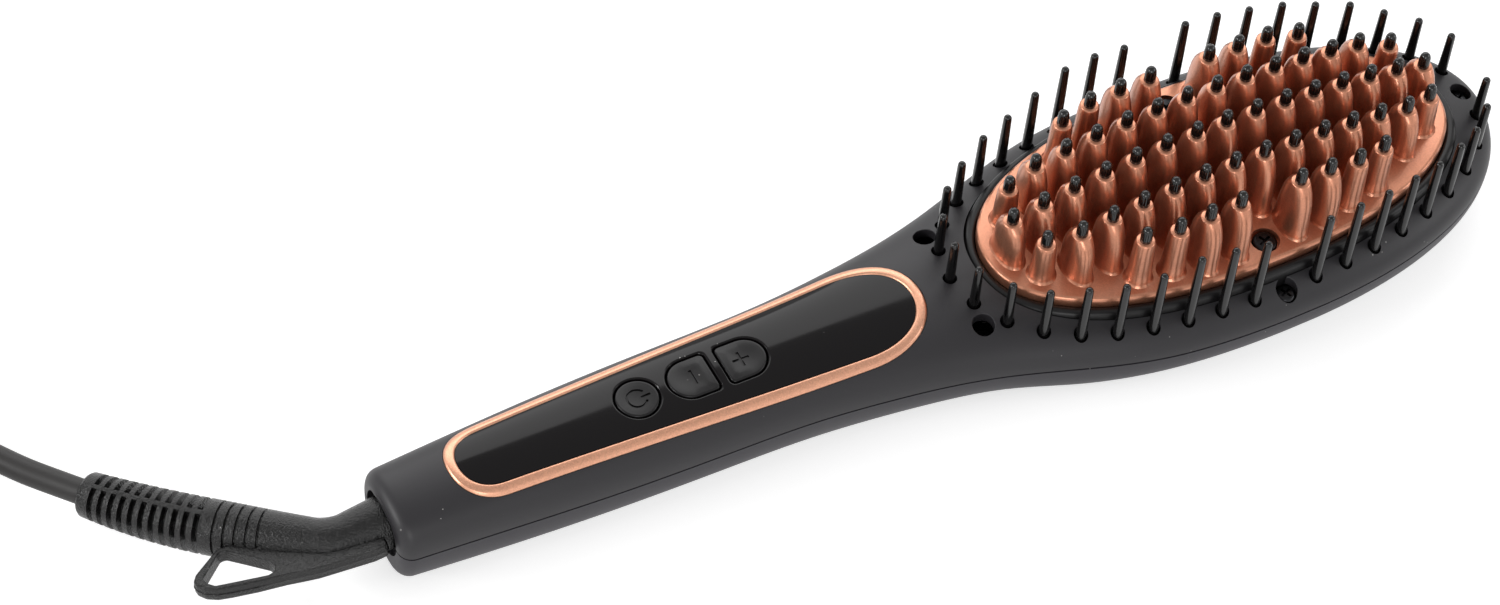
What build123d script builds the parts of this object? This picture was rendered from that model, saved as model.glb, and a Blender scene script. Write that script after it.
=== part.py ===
from build123d import *

import math
import os

# Hair straightening brush: heated comb head, rubberised casing, key panel and swivel cord.
# +X runs along the brush to its toe, +Y across it, +Z up through the teeth. The brush lies on
# its back. The origin is under the middle of the brush, on the surface that it lies on.

os.makedirs("parts", exist_ok=True)

# Casing
body_length = 268.0
head_half_length = 69.8
head_half_width = 34.3
crown_rise = 9.9
parting_height = 13.0
wall = 2.4
outline_power = 2.25
end_fall = 0.45
crown_fullness = 0.676
grip_belly_fullness = 0.70
head_belly_fullness = 0.80
belly_flat = 0.3
end_rounding = 3.0
parting_gap = 0.44
parting_depth = 0.6
ledge_thick = 1.6
rest_cut = 0.15
boss_inset = 0.5
grip_outline = [
    (0, 10.9, 0.9),
    (21, 12.3, 0.985),
    (47, 13.9, 1),
    (73, 14.6, 1),
    (94, 15.3, 1),
    (109, 16.9, 1),
    (122, 18.9, 1),
    (136, 22.2, 1),
]
neck_slices = [46.5, 31.0, 15.5]
toe_slices = [17, 34, 50, 63, 74, 83, 88.4]

# Heated comb
plate_half_length = 57.3
plate_half_width = 26.0
plate_top = 24.5
plate_thick = 3.0
plate_bevel = 0.8
tooth_pitch = 7.5
tooth_shift = -0.2
tooth_rows = [(7, 0.0, 0.0, 0), (6.5, 10.0, 8.13, 1), (4, 19.0, 17.6, 2)]
tooth_levels = [(0.0, 5.0, 2.8), (0.55, 4.25, 2.42), (1.0, 2.1, 1.95)]
round_tooth_levels = [(0.0, 2.85, 2.85), (1.0, 2.05, 2.05)]
tooth_sides = 10
tooth_root = 0.2
arch_radius = 213.9
arch_top = 45.5
row_drop = [0.0, 1.08, 2.22]
tip_height = 4.0
tip_levels = [(0.0, 1.45), (0.72, 1.22), (1.0, 0.62)]
tip_sides = 6

# Outer bristles
pin_half_length = 66.1
pin_half_width = 30.1
pin_power = 2.2
pin_spacing = 8.0
toe_pin_margin = 7.2
pin_levels = [(0.0, 1.0), (0.97, 0.72), (1.0, 0.35)]
pin_sides = 6
pin_hole_radius = 1.6
pin_hole_sides = 6
pin_neck_height = 34.9
neck_pin_heights = [34.7, 34.4, 34.1, 35.3, 35.5, 37.2, 40.3, 40.0, 38.5]
toe_pin_heights = [39.0, 38.7, 37.8, 37.1, 35.6, 34.9, 32.8, 32.2, 31.9]
strip_inside = 2.2
strip_outside = 0.9
strip_thick = 1.8

# Frame round the heated comb
opening_half_length = 59.8
opening_half_width = 28.2
surround_gap = 0.2
surround_top = 22.3
surround_foot = 15.0
surround_bevel = 0.7
shelf_width = 4.5
shelf_thick = 2.0
tab_reach = 0.9
tab_place = 32.0
tab_length = 12.0
tab_foot = 0.4
tab_thick = 1.4

# Key panel
panel_start = 14.9
panel_length = 109.9
panel_small_half = 9.2
panel_large_half = 12.65
panel_small_nose = 9.7
panel_large_nose = 17.5
nose_fullness = 0.62
trim_width = 2.3
trim_proud = 0.45
trim_bevel = 0.35
panel_proud = 0.1
panel_seat = 1.6
panel_gap = 0.1
keys = [("power_button", -76.1, 0), ("minus_button", -63.9, 1), ("plus_button", -51.2, -1)]
power_key_radius = 4.95
d_key_radius = 5.1
d_key_straight = 5.3
key_corner = 1.2
key_gap = 0.3
key_flange = 0.8
key_foot = 19.2
key_flange_thick = 0.65
key_hole_gap = 0.1
display_x = -30.0
display_size = (22.0, 13.0)
display_bottom = 17.9
display_top = 20.8
display_gap = 0.2
display_foot = (1.0, 11.0)
display_foot_place = 10.0

# Control board
board_length = 82.0
board_width = 18.0
board_thick = 1.6
board_middle_x = -60.0
board_top = 14.2
board_left = board_middle_x - board_length / 2
finger_tail = 4.0
finger_tail_y = 6.4
finger_thick = 0.4
finger_slot = 1.0
finger_flat = 1.2
finger_bend = 2.6
finger_drop = 1.4
finger_width = 3.2
board_post_radius = 1.9
board_screw_radius = 0.9
board_screw_length = 7.0
board_screw_head = 1.7
board_screw_head_height = 1.2
board_screws = [(-94.0, 0.0), (-44.5, 0.0)]
switch_size = 6.0
switch_top = 17.4
plunger_radius = 1.7
plunger_top = 18.4
capacitor_radius = 4.0
capacitor_length = 14.0
capacitor_shift = -22.0
triac_size = (15.0, 10.0, 4.5)
triac_shift = -2.0
lead_block_size = (6.0, 8.0, 2.4)
lead_block_shift = 34.0

# Screws
casing_screws = [(-0.8, 13.0), (-0.8, -13.0), (64.7, 30.4), (64.7, -30.4), (129.5, 0.0)]
screw_head_radius = 2.2
screw_head_height = 1.7
screw_radius = 1.45
screw_length = 10.5
screw_hole_radius = 2.45
screw_bore = 1.6
screw_pilot = 1.5
screw_seat = 15.6
boss_radius = 3.6
boss_gap = 0.2
pilot_spare = 1.1
plate_screw_y = 20.6
plate_screw_hole = 3.25
plate_screw_head = 2.8
plate_screw_head_height = 1.6
plate_screw_length = 10.7
plate_screw_seat = 22.7
plate_post_radius = 3.0
plate_post_gap = 0.3
shield_post_gap = 0.5

# Heater
heater_size = (48.0, 8.0, 3.2)
heater_y = 9.0
clamp_size = (62.0, 28.0, 1.0)
clamp_top = 18.3
lead_radius = 0.8
lead_route = [
    (-23.0, 2.0, 11.3),
    (-12.0, 3.0, 10.4),
    (0.0, 4.5, 9.8),
    (7.0, 5.5, 10.6),
    (14.0, 7.0, 14.2),
    (24.0, 8.8, 17.6),
    (32.0, 9.0, 19.9),
    (40.2, 9.0, 19.9),
]
clamp_screw_x = 27.0
clamp_screw_radius = 1.15
clamp_screw_hole = 1.3
clamp_screw_head = 2.2
clamp_screw_head_height = 1.5
clamp_screw_reach = 4.0
clamp_pilot_radius = 1.2
clamp_boss_radius = 3.0
fuse_radius = 1.6
fuse_length = 12.0
fuse_shift = -8.0
thermistor_size = (6.0, 2.4)
thermistor_shift = 10.0
thermistor_bevel = 0.5
shield_half_length = 50.0
shield_half_width = 22.0
shield_thick = 1.0
shield_bottom = 11.0
shield_posts = [(42.0, 0.0), (-42.0, 0.0)]
shield_post_radius = 2.4
spigot_radius = 1.1
spigot_height = 1.8
spigot_gap = 0.1

# Swivel cord outlet
mouth_radius = 7.2
mouth_depth = 1.2
bush_radius = 7.6
bush_length = 7.0
bush_bore = 5.6
bush_gap = 0.1
stem_step = 1.0
stem_radius = 5.3
collar_radius = 6.8
collar_thick = 1.4
bush_stop_thick = 1.2
turning_gap = 0.3
spindle_radius = 4.0
spindle_length = 13.0
slip_ring_radius = 4.6
slip_ring_width = 2.4
slip_ring_places = [-119.5, -114.3]
finger_gap = 0.25
cone_radius = 5.75
elbow_radius = 3.95
elbow_x = -146.3
elbow_angle = 45.0
elbow_droop = -11.0
bend_radius = 10.0
sleeve_length = 53.0
sleeve_start_radius = 4.3
sleeve_end_radius = 4.7
sleeve_shoulder = 3.0
groove_start = 13.0
groove_pitch = 2.4
groove_count = 4
groove_width = 0.55
groove_depth = 0.5
rib_start = 23.2
rib_pitch = 2.6
rib_count = 11
rib_slot = 1.2
rib_core_radius = 3.4
loop_thick = 4.0
loop_outline = [
    (-157.0, 8.5),
    (-167.4, 8.5),
    (-173.9, 2.9),
    (-171.8, -1.6),
    (-159.0, -5.0),
    (-150.2, -5.6),
    (-138.5, -7.5),
    (-135.0, -7.2),
    (-135.0, -3.0),
]
loop_hole = [(-165.5, 5.3), (-159.2, -2.7), (-171.0, 0.3)]

# Cord
cord_radius = 2.6
coil_tube_radius = 2.86
cord_turn = (-196.0, 55.0)
cord_route = [(-194.6, 51.0, 3.7), (-203.5, 65.4, 2.62)]
cord_end_gap = 5.2
sleeve_lead = 8.0
coil_in_lead = 12.0
plug_lead = 10.0
coil_lead = 44.0
coil_heading = 33.5
coil_outer = 39.5
coil_pitch = 5.7
coil_base = 3.9
coil_half_turns = 15
coil_sides = 6
tie_width = 8.0
tie_thick = 0.8
tie_rounding = 3.0
tie_gap = 0.4
tie_height = 13.8
plug_drop = 30.0
plug_outline = [(0, 0), (6.5, 0), (6.5, -4), (13, -14), (17.5, -26), (17.5, -36)]
plug_height = 14.0
plug_bevel = 1.5
plug_pin_radius = 2.0
plug_pin_length = 19.0
plug_pin_gap = 19.0
plug_pin_bevel = 0.8

# Derived places
cord_end_x = -body_length / 2
toe_x = body_length / 2
head_x = toe_x - head_half_length
panel_x = cord_end_x + panel_start
belly_depth = parting_height + rest_cut
crown_top = parting_height + crown_rise
cut_top = 2 * arch_top


def save(builder, name):
    """Label one finished piece and write it as STEP."""
    builder.part.label = name
    export_step(builder.part, f"parts/{name}.step")


def oval_half_width(x, length, width, power=outline_power):
    """Half width at x of a superellipse centred on the head."""
    share = min(abs(x) / length, 1.0)
    return width * (1 - share**power) ** (1 / power)


def casing_slices(inset):
    """Places, half widths and height shares of the casing's cross sections."""
    slices = []
    for place, half, rise in grip_outline:
        x = cord_end_x + max(place, inset)
        slices.append((x, half - inset, rise, grip_belly_fullness))
    length = head_half_length - inset
    width = head_half_width - inset
    for place in neck_slices:
        slices.append((head_x - place, oval_half_width(place, length, width), 1, head_belly_fullness))
    slices.append((head_x, width, 1, head_belly_fullness))
    for angle in toe_slices:
        turn = math.radians(angle)
        x = head_x + length * math.sin(turn) ** (2 / outline_power)
        half = width * math.cos(turn) ** (2 / outline_power)
        slices.append((x, half, (half / width) ** end_fall, head_belly_fullness))
    return slices


def casing_form(inset):
    """The whole casing's outer form, drawn in by inset all round."""
    crown = crown_rise - inset
    belly = belly_depth - inset
    with BuildPart() as form:
        for x, half, rise, fullness in casing_slices(inset):
            with BuildSketch(Plane.YZ.offset(x)):
                with BuildLine():
                    for height, full, flat in ((crown, crown_fullness, 0), (-belly, fullness, belly_flat)):
                        edge = parting_height + height * rise
                        near = [(half, parting_height), (half, parting_height + full * height * rise)]
                        far = [(full * half, edge), (flat * half, edge)]
                        Bezier(*near, *far)
                        Bezier(*[(-y, z) for y, z in near + far])
                    Line((-flat * half, edge), (flat * half, edge))
                make_face()
        loft()
    return form.part


def prism(shape, bottom, top):
    """A straight block over a flat shape."""
    with BuildPart() as block:
        with BuildSketch(Plane.XY.offset(bottom)):
            add(shape)
        extrude(amount=top - bottom)
    return block.part


def disc(x, y, radius, bottom, top):
    """An upright cylinder."""
    with BuildPart() as post:
        with Locations((x, y, bottom)):
            Cylinder(radius, top - bottom, align=(Align.CENTER, Align.CENTER, Align.MIN))
    return post.part


def oval(length, width, power=outline_power):
    """A flat superellipse about the middle of the head."""
    points = []
    for step in range(25):
        turn = 2 * math.pi * step / 24
        c = math.cos(turn)
        s = math.sin(turn)
        x = head_x + math.copysign(length * abs(c) ** (2 / power), c)
        points.append((x, math.copysign(width * abs(s) ** (2 / power), s)))
    with BuildSketch() as shape:
        with BuildLine():
            Spline(*points[:-1], periodic=True)
        make_face()
    return shape.sketch


def panel_shape(inset):
    """The long tapering outline of the key panel, drawn in by inset."""
    left = panel_x + inset
    right = panel_x + panel_length - inset
    small_x = panel_x + panel_small_nose
    large_x = panel_x + panel_length - panel_large_nose
    slope = (panel_large_half - panel_small_half) / (large_x - small_x)
    small = panel_small_half - inset
    large = panel_large_half - inset
    small_pull = nose_fullness * (small_x - left)
    large_pull = nose_fullness * (right - large_x)
    with BuildSketch() as shape:
        with BuildLine():
            for side in (1, -1):
                Bezier(
                    (left, 0),
                    (left, side * nose_fullness * small),
                    (small_x - small_pull, side * (small - slope * small_pull)),
                    (small_x, side * small),
                )
                Line((small_x, side * small), (large_x, side * large))
                Bezier(
                    (large_x, side * large),
                    (large_x + large_pull, side * (large + slope * large_pull)),
                    (right, side * nose_fullness * large),
                    (right, 0),
                )
        make_face()
    return shape.sketch


def key_shape(x, side, inset):
    """A key's outline: round, or with one flat end on the given side."""
    radius = (d_key_radius if side else power_key_radius) - inset
    with BuildSketch() as shape:
        with Locations((x, 0)):
            Circle(radius)
        if side:
            straight = d_key_straight - inset
            with Locations((x + side * straight / 2, 0)):
                Rectangle(straight, 2 * radius)
            corners = shape.vertices().sort_by(Axis.X, reverse=side > 0)
            fillet(corners[:2], key_corner)
    return shape.sketch


def pin_places():
    """Places and tip heights of the outer bristles, at even steps round their oval."""
    steps = 4000
    marks = []
    run = 0.0
    last = (-pin_half_length, 0.0)
    for step in range(steps + 1):
        turn = math.pi * step / steps
        c = math.cos(turn)
        x = -math.copysign(pin_half_length * abs(c) ** (2 / pin_power), c)
        y = pin_half_width * math.sin(turn) ** (2 / pin_power)
        run += math.dist(last, (x, y))
        last = (x, y)
        marks.append((run, x, y))
    places = [(head_x - pin_half_length, 0.0, pin_neck_height)]
    for number, height in enumerate(neck_pin_heights, start=1):
        goal = number * pin_spacing
        mark = min(marks, key=lambda m: abs(m[0] - goal))
        places += [(head_x + mark[1], mark[2], height), (head_x + mark[1], -mark[2], height)]
    for number, height in enumerate(toe_pin_heights):
        goal = run - toe_pin_margin - (len(toe_pin_heights) - 1 - number) * pin_spacing
        mark = min(marks, key=lambda m: abs(m[0] - goal))
        places += [(head_x + mark[1], mark[2], height), (head_x + mark[1], -mark[2], height)]
    return places


def tooth_places():
    """Place, tip height and shape (fin or round) of every tooth of the comb."""
    places = []
    for row, (half_span, gap, end_gap, ends) in enumerate(tooth_rows):
        columns = [7 - half_span + step for step in range(int(2 * half_span) + 1)]
        if row == 2:
            columns.remove(7)
        for column in columns:
            along = (column - 7) * tooth_pitch
            x = head_x + tooth_shift + arch_radius * math.sin(along / arch_radius)
            tip = arch_top - arch_radius * (1 - math.cos(along / arch_radius)) - row_drop[row]
            at_end = min(columns.index(column), len(columns) - 1 - columns.index(column))
            y = end_gap if at_end == 0 else gap
            for side in (1, -1) if row else (1,):
                places.append((x, side * y, tip, at_end < ends))
    return places


def levelled(x, y, bottom, top, levels, sides):
    """An upright pin through cross sections given as height share and half sizes along Y and X."""
    with BuildPart() as pin:
        for share, *halves in levels:
            with BuildSketch(Plane.XY.offset(bottom + share * (top - bottom))):
                corners = []
                for side in range(sides):
                    turn = 2 * math.pi * (side + 0.5) / sides
                    corners.append((x + halves[-1] * math.cos(turn), y + halves[0] * math.sin(turn)))
                with BuildLine():
                    Polyline(*corners, close=True)
                make_face()
        loft(ruled=True)
    return pin.part


# Forms that several pieces share
outer_form = casing_form(0)
inner_form = casing_form(wall)
boss_form = casing_form(boss_inset)
seam_form = casing_form(parting_depth)
seat_form = casing_form(panel_seat)
rest_form = casing_form(panel_seat - panel_gap)
opening = oval(opening_half_length, opening_half_width)
pins = pin_places()
teeth = tooth_places()

# Casing shell before it is parted
with BuildPart() as shell:
    add(outer_form)
    fillet(shell.faces().sort_by(Axis.X)[0].edges(), end_rounding)
    add(inner_form, mode=Mode.SUBTRACT)
    mouth_cut = (0, mouth_depth, mouth_radius)
    bush_cut = (mouth_depth, bush_length, bush_radius + bush_gap)
    for start, depth, radius in (mouth_cut, bush_cut):
        with BuildSketch(Plane.YZ.offset(cord_end_x + start)):
            with Locations((0, parting_height)):
                Circle(radius)
        extrude(amount=depth, mode=Mode.SUBTRACT)

# Stop behind the swivel bush
with BuildPart() as bush_stop:
    with BuildSketch(Plane.YZ.offset(cord_end_x + mouth_depth + bush_length)):
        Rectangle(4 * head_half_width, 4 * head_half_width)
    extrude(amount=bush_stop_thick)
    add(boss_form, mode=Mode.INTERSECT)
    with BuildSketch(Plane.YZ.offset(cord_end_x)):
        with Locations((0, parting_height)):
            Circle(collar_radius + turning_gap)
    extrude(amount=2 * bush_length, mode=Mode.SUBTRACT)

# Upper casing
with BuildPart() as upper_bosses:
    for x, y in casing_screws:
        add(disc(x, y, boss_radius, parting_height, crown_top))
    add(boss_form, mode=Mode.INTERSECT)

with BuildPart() as upper_casing:
    add(shell.part)
    add(bush_stop.part)
    add(upper_bosses.part)
    with BuildSketch(Plane.XY.offset(parting_height)):
        Rectangle(2 * body_length, 4 * head_half_width)
    extrude(amount=-2 * parting_height, mode=Mode.SUBTRACT)
    add(prism(opening, 0, cut_top), mode=Mode.SUBTRACT)
    add(prism(panel_shape(-panel_gap), parting_height, cut_top) - seat_form, mode=Mode.SUBTRACT)
    for name, x, side in keys:
        add(prism(key_shape(x, side, -key_hole_gap), 0, cut_top), mode=Mode.SUBTRACT)
    with BuildSketch():
        with Locations((display_x, 0)):
            Rectangle(display_size[0] + 2 * display_gap, display_size[1] + 2 * display_gap)
    extrude(amount=cut_top, mode=Mode.SUBTRACT)
    for x, y in casing_screws:
        add(disc(x, y, screw_hole_radius, screw_seat, cut_top), mode=Mode.SUBTRACT)
        add(disc(x, y, screw_bore, 0, screw_seat), mode=Mode.SUBTRACT)
    with BuildSketch():
        with Locations(*[(x, y) for x, y, height in pins]):
            RegularPolygon(pin_hole_radius, pin_hole_sides)
    extrude(amount=cut_top, mode=Mode.SUBTRACT)
save(upper_casing, "upper_casing")

# Lower casing
with BuildPart() as lower_bosses:
    for x, y in casing_screws:
        add(disc(x, y, boss_radius, 0, parting_height))
    for side in (1, -1):
        add(disc(head_x, side * plate_screw_y, plate_post_radius, 0, parting_height))
    for x, y in board_screws:
        add(disc(x, y, board_post_radius, 0, board_top - board_thick))
    for x, y in shield_posts:
        add(disc(head_x + x, y, shield_post_radius, 0, shield_bottom))
    ledge = oval(head_half_length, head_half_width)
    ledge -= oval(pin_half_length - strip_inside, pin_half_width - strip_inside, pin_power)
    add(prism(ledge, parting_height - ledge_thick, parting_height))
    add(boss_form, mode=Mode.INTERSECT)

with BuildPart() as lower_casing:
    add(shell.part)
    add(bush_stop.part)
    add(lower_bosses.part)
    for start, amount in ((parting_height, cut_top), (0, -2 * wall)):
        with BuildSketch(Plane.XY.offset(start)):
            Rectangle(2 * body_length, 4 * head_half_width)
        extrude(amount=amount, mode=Mode.SUBTRACT)
    plate_foot = plate_screw_seat - plate_screw_length - pilot_spare
    for side in (1, -1):
        add(disc(head_x, side * plate_screw_y, plate_post_radius, plate_foot, plate_top - plate_thick))
        add(disc(head_x, side * plate_screw_y, screw_pilot, plate_foot, cut_top), mode=Mode.SUBTRACT)
    for x, y in shield_posts:
        add(disc(head_x + x, y, spigot_radius, shield_bottom, shield_bottom + spigot_height))
    for x, y in casing_screws:
        add(disc(x, y, screw_pilot, screw_seat - screw_length - pilot_spare, cut_top), mode=Mode.SUBTRACT)
    board_foot = board_top - board_screw_length - pilot_spare
    for x, y in board_screws:
        add(disc(x, y, board_screw_radius, board_foot, cut_top), mode=Mode.SUBTRACT)
    with BuildSketch(Plane.XY.offset(parting_height - parting_gap)):
        Rectangle(2 * body_length, 4 * head_half_width)
    seam = extrude(amount=parting_gap, mode=Mode.PRIVATE)
    add(seam - seam_form, mode=Mode.SUBTRACT)
save(lower_casing, "lower_casing")

# Trim ring and key panel
with BuildPart() as panel_trim_ring:
    add(prism(panel_shape(0) - panel_shape(trim_width), parting_height, cut_top))
    add(casing_form(-panel_proud), mode=Mode.INTERSECT)
    rise = prism(panel_shape(trim_bevel) - panel_shape(trim_width - trim_bevel), parting_height, cut_top)
    add(rise & casing_form(-trim_proud))
    add(rest_form, mode=Mode.SUBTRACT)
save(panel_trim_ring, "panel_trim_ring")

with BuildPart() as control_panel:
    add(prism(panel_shape(trim_width + panel_gap), parting_height, cut_top))
    add(casing_form(-panel_proud), mode=Mode.INTERSECT)
    add(rest_form, mode=Mode.SUBTRACT)
    for name, x, side in keys:
        add(prism(key_shape(x, side, 0), parting_height, cut_top), mode=Mode.SUBTRACT)
save(control_panel, "control_panel")

# Keys, each held under the casing by a flange
for name, x, side in keys:
    with BuildPart() as key:
        add(prism(key_shape(x, side, key_gap), key_foot, cut_top))
        add(outer_form, mode=Mode.INTERSECT)
        add(prism(key_shape(x, side, -key_flange), key_foot, key_foot + key_flange_thick))
    save(key, name)


# Heated comb: the plate with its fins and round teeth
with BuildPart() as heating_plate:
    add(prism(oval(plate_half_length, plate_half_width, pin_power), plate_top - plate_thick, plate_top))
    chamfer(heating_plate.faces().sort_by(Axis.Z)[-1].edges(), plate_bevel)
    for y in (plate_screw_y, -plate_screw_y):
        add(disc(head_x, y, plate_screw_hole, plate_screw_seat, cut_top), mode=Mode.SUBTRACT)
        add(disc(head_x, y, screw_bore, 0, cut_top), mode=Mode.SUBTRACT)
    clamp_pilot_top = clamp_top + clamp_screw_reach + spigot_gap
    for x in (head_x + clamp_screw_x, head_x - clamp_screw_x):
        add(disc(x, 0, clamp_boss_radius, clamp_top, plate_top - plate_thick / 2))
        add(disc(x, 0, clamp_pilot_radius, 0, clamp_pilot_top), mode=Mode.SUBTRACT)
    roots = plate_top - tooth_root
    comb = []
    for x, y, tip, is_round in teeth:
        levels = round_tooth_levels if is_round else tooth_levels
        comb.append(levelled(x, y, roots, tip - tip_height, levels, tooth_sides))
    add(comb)
save(heating_plate, "heating_plate")

# Cool tips, one on each tooth
with BuildPart() as tooth_tips:
    add([levelled(x, y, tip - tip_height, tip, tip_levels, tip_sides) for x, y, tip, is_round in teeth])
save(tooth_tips, "tooth_tips")

# Strips that the outer bristles stand on
with BuildPart() as bristle_frame:
    band = oval(pin_half_length + strip_outside, pin_half_width + strip_outside, pin_power)
    band -= oval(pin_half_length - strip_inside, pin_half_width - strip_inside, pin_power)
    add(prism(band, parting_height, parting_height + strip_thick))
    for x, y in casing_screws:
        add(disc(x, y, boss_radius + boss_gap, 0, cut_top), mode=Mode.SUBTRACT)
save(bristle_frame, "bristle_frame")

# Outer bristles
with BuildPart() as bristles:
    foot = parting_height + strip_thick
    add([levelled(x, y, foot, height, pin_levels, pin_sides) for x, y, height in pins])
save(bristles, "bristles")

# Frame round the comb, with a shelf under the plate
with BuildPart() as plate_surround:
    outer_edge = oval(opening_half_length - surround_gap, opening_half_width - surround_gap)
    add(prism(outer_edge, surround_foot, surround_top))
    chamfer(plate_surround.faces().sort_by(Axis.Z)[-1].edges(), surround_bevel)
    tab_bottom = surround_foot + tab_foot
    tabs = oval(opening_half_length + tab_reach, opening_half_width + tab_reach)
    tabs = prism(tabs, tab_bottom, tab_bottom + tab_thick)
    with BuildSketch():
        with Locations((head_x + tab_place, 0), (head_x - tab_place, 0)):
            Rectangle(tab_length, 4 * head_half_width)
    wide = extrude(amount=cut_top, mode=Mode.PRIVATE)
    add(tabs & wide)
    well = oval(plate_half_length + surround_gap, plate_half_width + surround_gap, pin_power)
    shelf_hole = oval(plate_half_length - shelf_width, plate_half_width - shelf_width, pin_power)
    shelf_top = plate_top - plate_thick
    add(prism(well, 0, shelf_top - shelf_thick), mode=Mode.SUBTRACT)
    add(prism(well, shelf_top, cut_top), mode=Mode.SUBTRACT)
    add(prism(shelf_hole, 0, cut_top), mode=Mode.SUBTRACT)
    for y in (plate_screw_y, -plate_screw_y):
        add(disc(head_x, y, plate_post_radius + plate_post_gap, 0, cut_top), mode=Mode.SUBTRACT)
save(plate_surround, "plate_surround")

# Heater under the plate
with BuildPart() as heater_elements:
    for side in (1, -1):
        with Locations((head_x, side * heater_y, plate_top - plate_thick)):
            Box(*heater_size, align=(Align.CENTER, Align.CENTER, Align.MAX))
save(heater_elements, "heater_elements")

with BuildPart() as heater_clamp:
    with Locations((head_x, 0, clamp_top)):
        Box(*clamp_size, align=(Align.CENTER, Align.CENTER, Align.MAX))
    for side in (1, -1):
        add(disc(head_x + side * clamp_screw_x, 0, clamp_screw_hole, 0, cut_top), mode=Mode.SUBTRACT)
save(heater_clamp, "heater_clamp")

clamp_bottom = clamp_top - clamp_size[2]
with BuildPart() as clamp_screws:
    for side in (1, -1):
        x = head_x + side * clamp_screw_x
        add(disc(x, 0, clamp_screw_head, clamp_bottom - clamp_screw_head_height, clamp_bottom))
        add(disc(x, 0, clamp_screw_radius, clamp_bottom, clamp_top + clamp_screw_reach))
save(clamp_screws, "clamp_screws")

with BuildPart() as thermal_fuse:
    with Locations((head_x + fuse_shift, 0, clamp_top + fuse_radius)):
        Cylinder(fuse_radius, fuse_length, rotation=(0, 90, 0))
save(thermal_fuse, "thermal_fuse")

with BuildPart() as thermistor:
    with Locations((head_x + thermistor_shift, 0, clamp_top)):
        Box(*thermistor_size, shelf_top - clamp_top, align=(Align.CENTER, Align.CENTER, Align.MIN))
    chamfer(thermistor.edges().filter_by(Axis.X), thermistor_bevel)
save(thermistor, "thermistor")

with BuildPart() as heat_shield:
    add(prism(oval(shield_half_length, shield_half_width), shield_bottom, shield_bottom + shield_thick))
    for x, y in shield_posts:
        add(disc(head_x + x, y, spigot_radius + spigot_gap, 0, cut_top), mode=Mode.SUBTRACT)
    for y in (plate_screw_y, -plate_screw_y):
        add(disc(head_x, y, plate_post_radius + shield_post_gap, 0, cut_top), mode=Mode.SUBTRACT)
save(heat_shield, "heat_shield")

# Screws
with BuildPart() as plate_screws:
    for side in (1, -1):
        y = side * plate_screw_y
        add(disc(head_x, y, plate_screw_head, plate_screw_seat, plate_screw_seat + plate_screw_head_height))
        add(disc(head_x, y, screw_radius, plate_screw_seat - plate_screw_length, plate_screw_seat))
save(plate_screws, "plate_screws")

with BuildPart() as casing_screw_set:
    for x, y in casing_screws:
        add(disc(x, y, screw_head_radius, screw_seat, screw_seat + screw_head_height))
        add(disc(x, y, screw_radius, screw_seat - screw_length, screw_seat))
save(casing_screw_set, "casing_screws")

with BuildPart() as board_screw_set:
    for x, y in board_screws:
        add(disc(x, y, board_screw_head, board_top, board_top + board_screw_head_height))
        add(disc(x, y, board_screw_radius, board_top - board_screw_length, board_top))
save(board_screw_set, "board_screws")

# Control board and what it carries
with BuildPart() as circuit_board:
    with Locations((board_middle_x, 0, board_top)):
        Box(board_length, board_width, board_thick, align=(Align.CENTER, Align.CENTER, Align.MAX))
    for x, y in board_screws:
        add(disc(x, y, board_screw_radius + spigot_gap, 0, cut_top), mode=Mode.SUBTRACT)
    for side in (1, -1):
        with Locations((board_left, side * finger_tail_y, board_top)):
            Box(2 * finger_tail, finger_slot, 4 * board_thick, mode=Mode.SUBTRACT)
save(circuit_board, "circuit_board")

with BuildPart() as tact_switches:
    for name, x, side in keys:
        middle = x + side * d_key_straight / 2 if side else x
        with Locations((middle, 0, board_top)):
            height = switch_top - board_top
            Box(switch_size, switch_size, height, align=(Align.CENTER, Align.CENTER, Align.MIN))
        add(disc(middle, 0, plunger_radius, switch_top, plunger_top))
save(tact_switches, "tact_switches")

with BuildPart() as display_module:
    with Locations((display_x, 0, display_bottom)):
        Box(*display_size, display_top - display_bottom, align=(Align.CENTER, Align.CENTER, Align.MIN))
    for side in (1, -1):
        with Locations((display_x + side * display_foot_place, 0, board_top)):
            Box(*display_foot, display_bottom - board_top, align=(Align.CENTER, Align.CENTER, Align.MIN))
save(display_module, "display_module")

under = board_top - board_thick
with BuildPart() as capacitor:
    with Locations((board_middle_x + capacitor_shift, 0, under - capacitor_radius)):
        Cylinder(capacitor_radius, capacitor_length, rotation=(0, 90, 0))
save(capacitor, "capacitor")

with BuildPart() as triac:
    with Locations((board_middle_x + triac_shift, 0, under)):
        Box(*triac_size, align=(Align.CENTER, Align.CENTER, Align.MAX))
save(triac, "triac")

with BuildPart() as lead_block:
    with Locations((board_middle_x + lead_block_shift, 0, under)):
        Box(*lead_block_size, align=(Align.CENTER, Align.CENTER, Align.MAX))
save(lead_block, "lead_block")

# Brass fingers from the board to the slip rings
with BuildPart() as contact_springs:
    for ring_x, side in zip(slip_ring_places, (1, -1)):
        touch = slip_ring_radius + finger_gap
        tail = finger_tail_y - finger_thick / 2
        with BuildSketch(Plane.XY.offset(parting_height - finger_drop)):
            with BuildLine():
                near = [(ring_x - finger_flat, touch), (ring_x + finger_flat, touch)]
                near += [(ring_x + finger_bend, tail), (board_left + finger_tail, tail)]
                far = [(x, y + finger_thick) for x, y in reversed(near)]
                Polyline(*[(x, side * y) for x, y in near + far], close=True)
            make_face()
        extrude(amount=finger_width)
save(contact_springs, "contact_springs")

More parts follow.
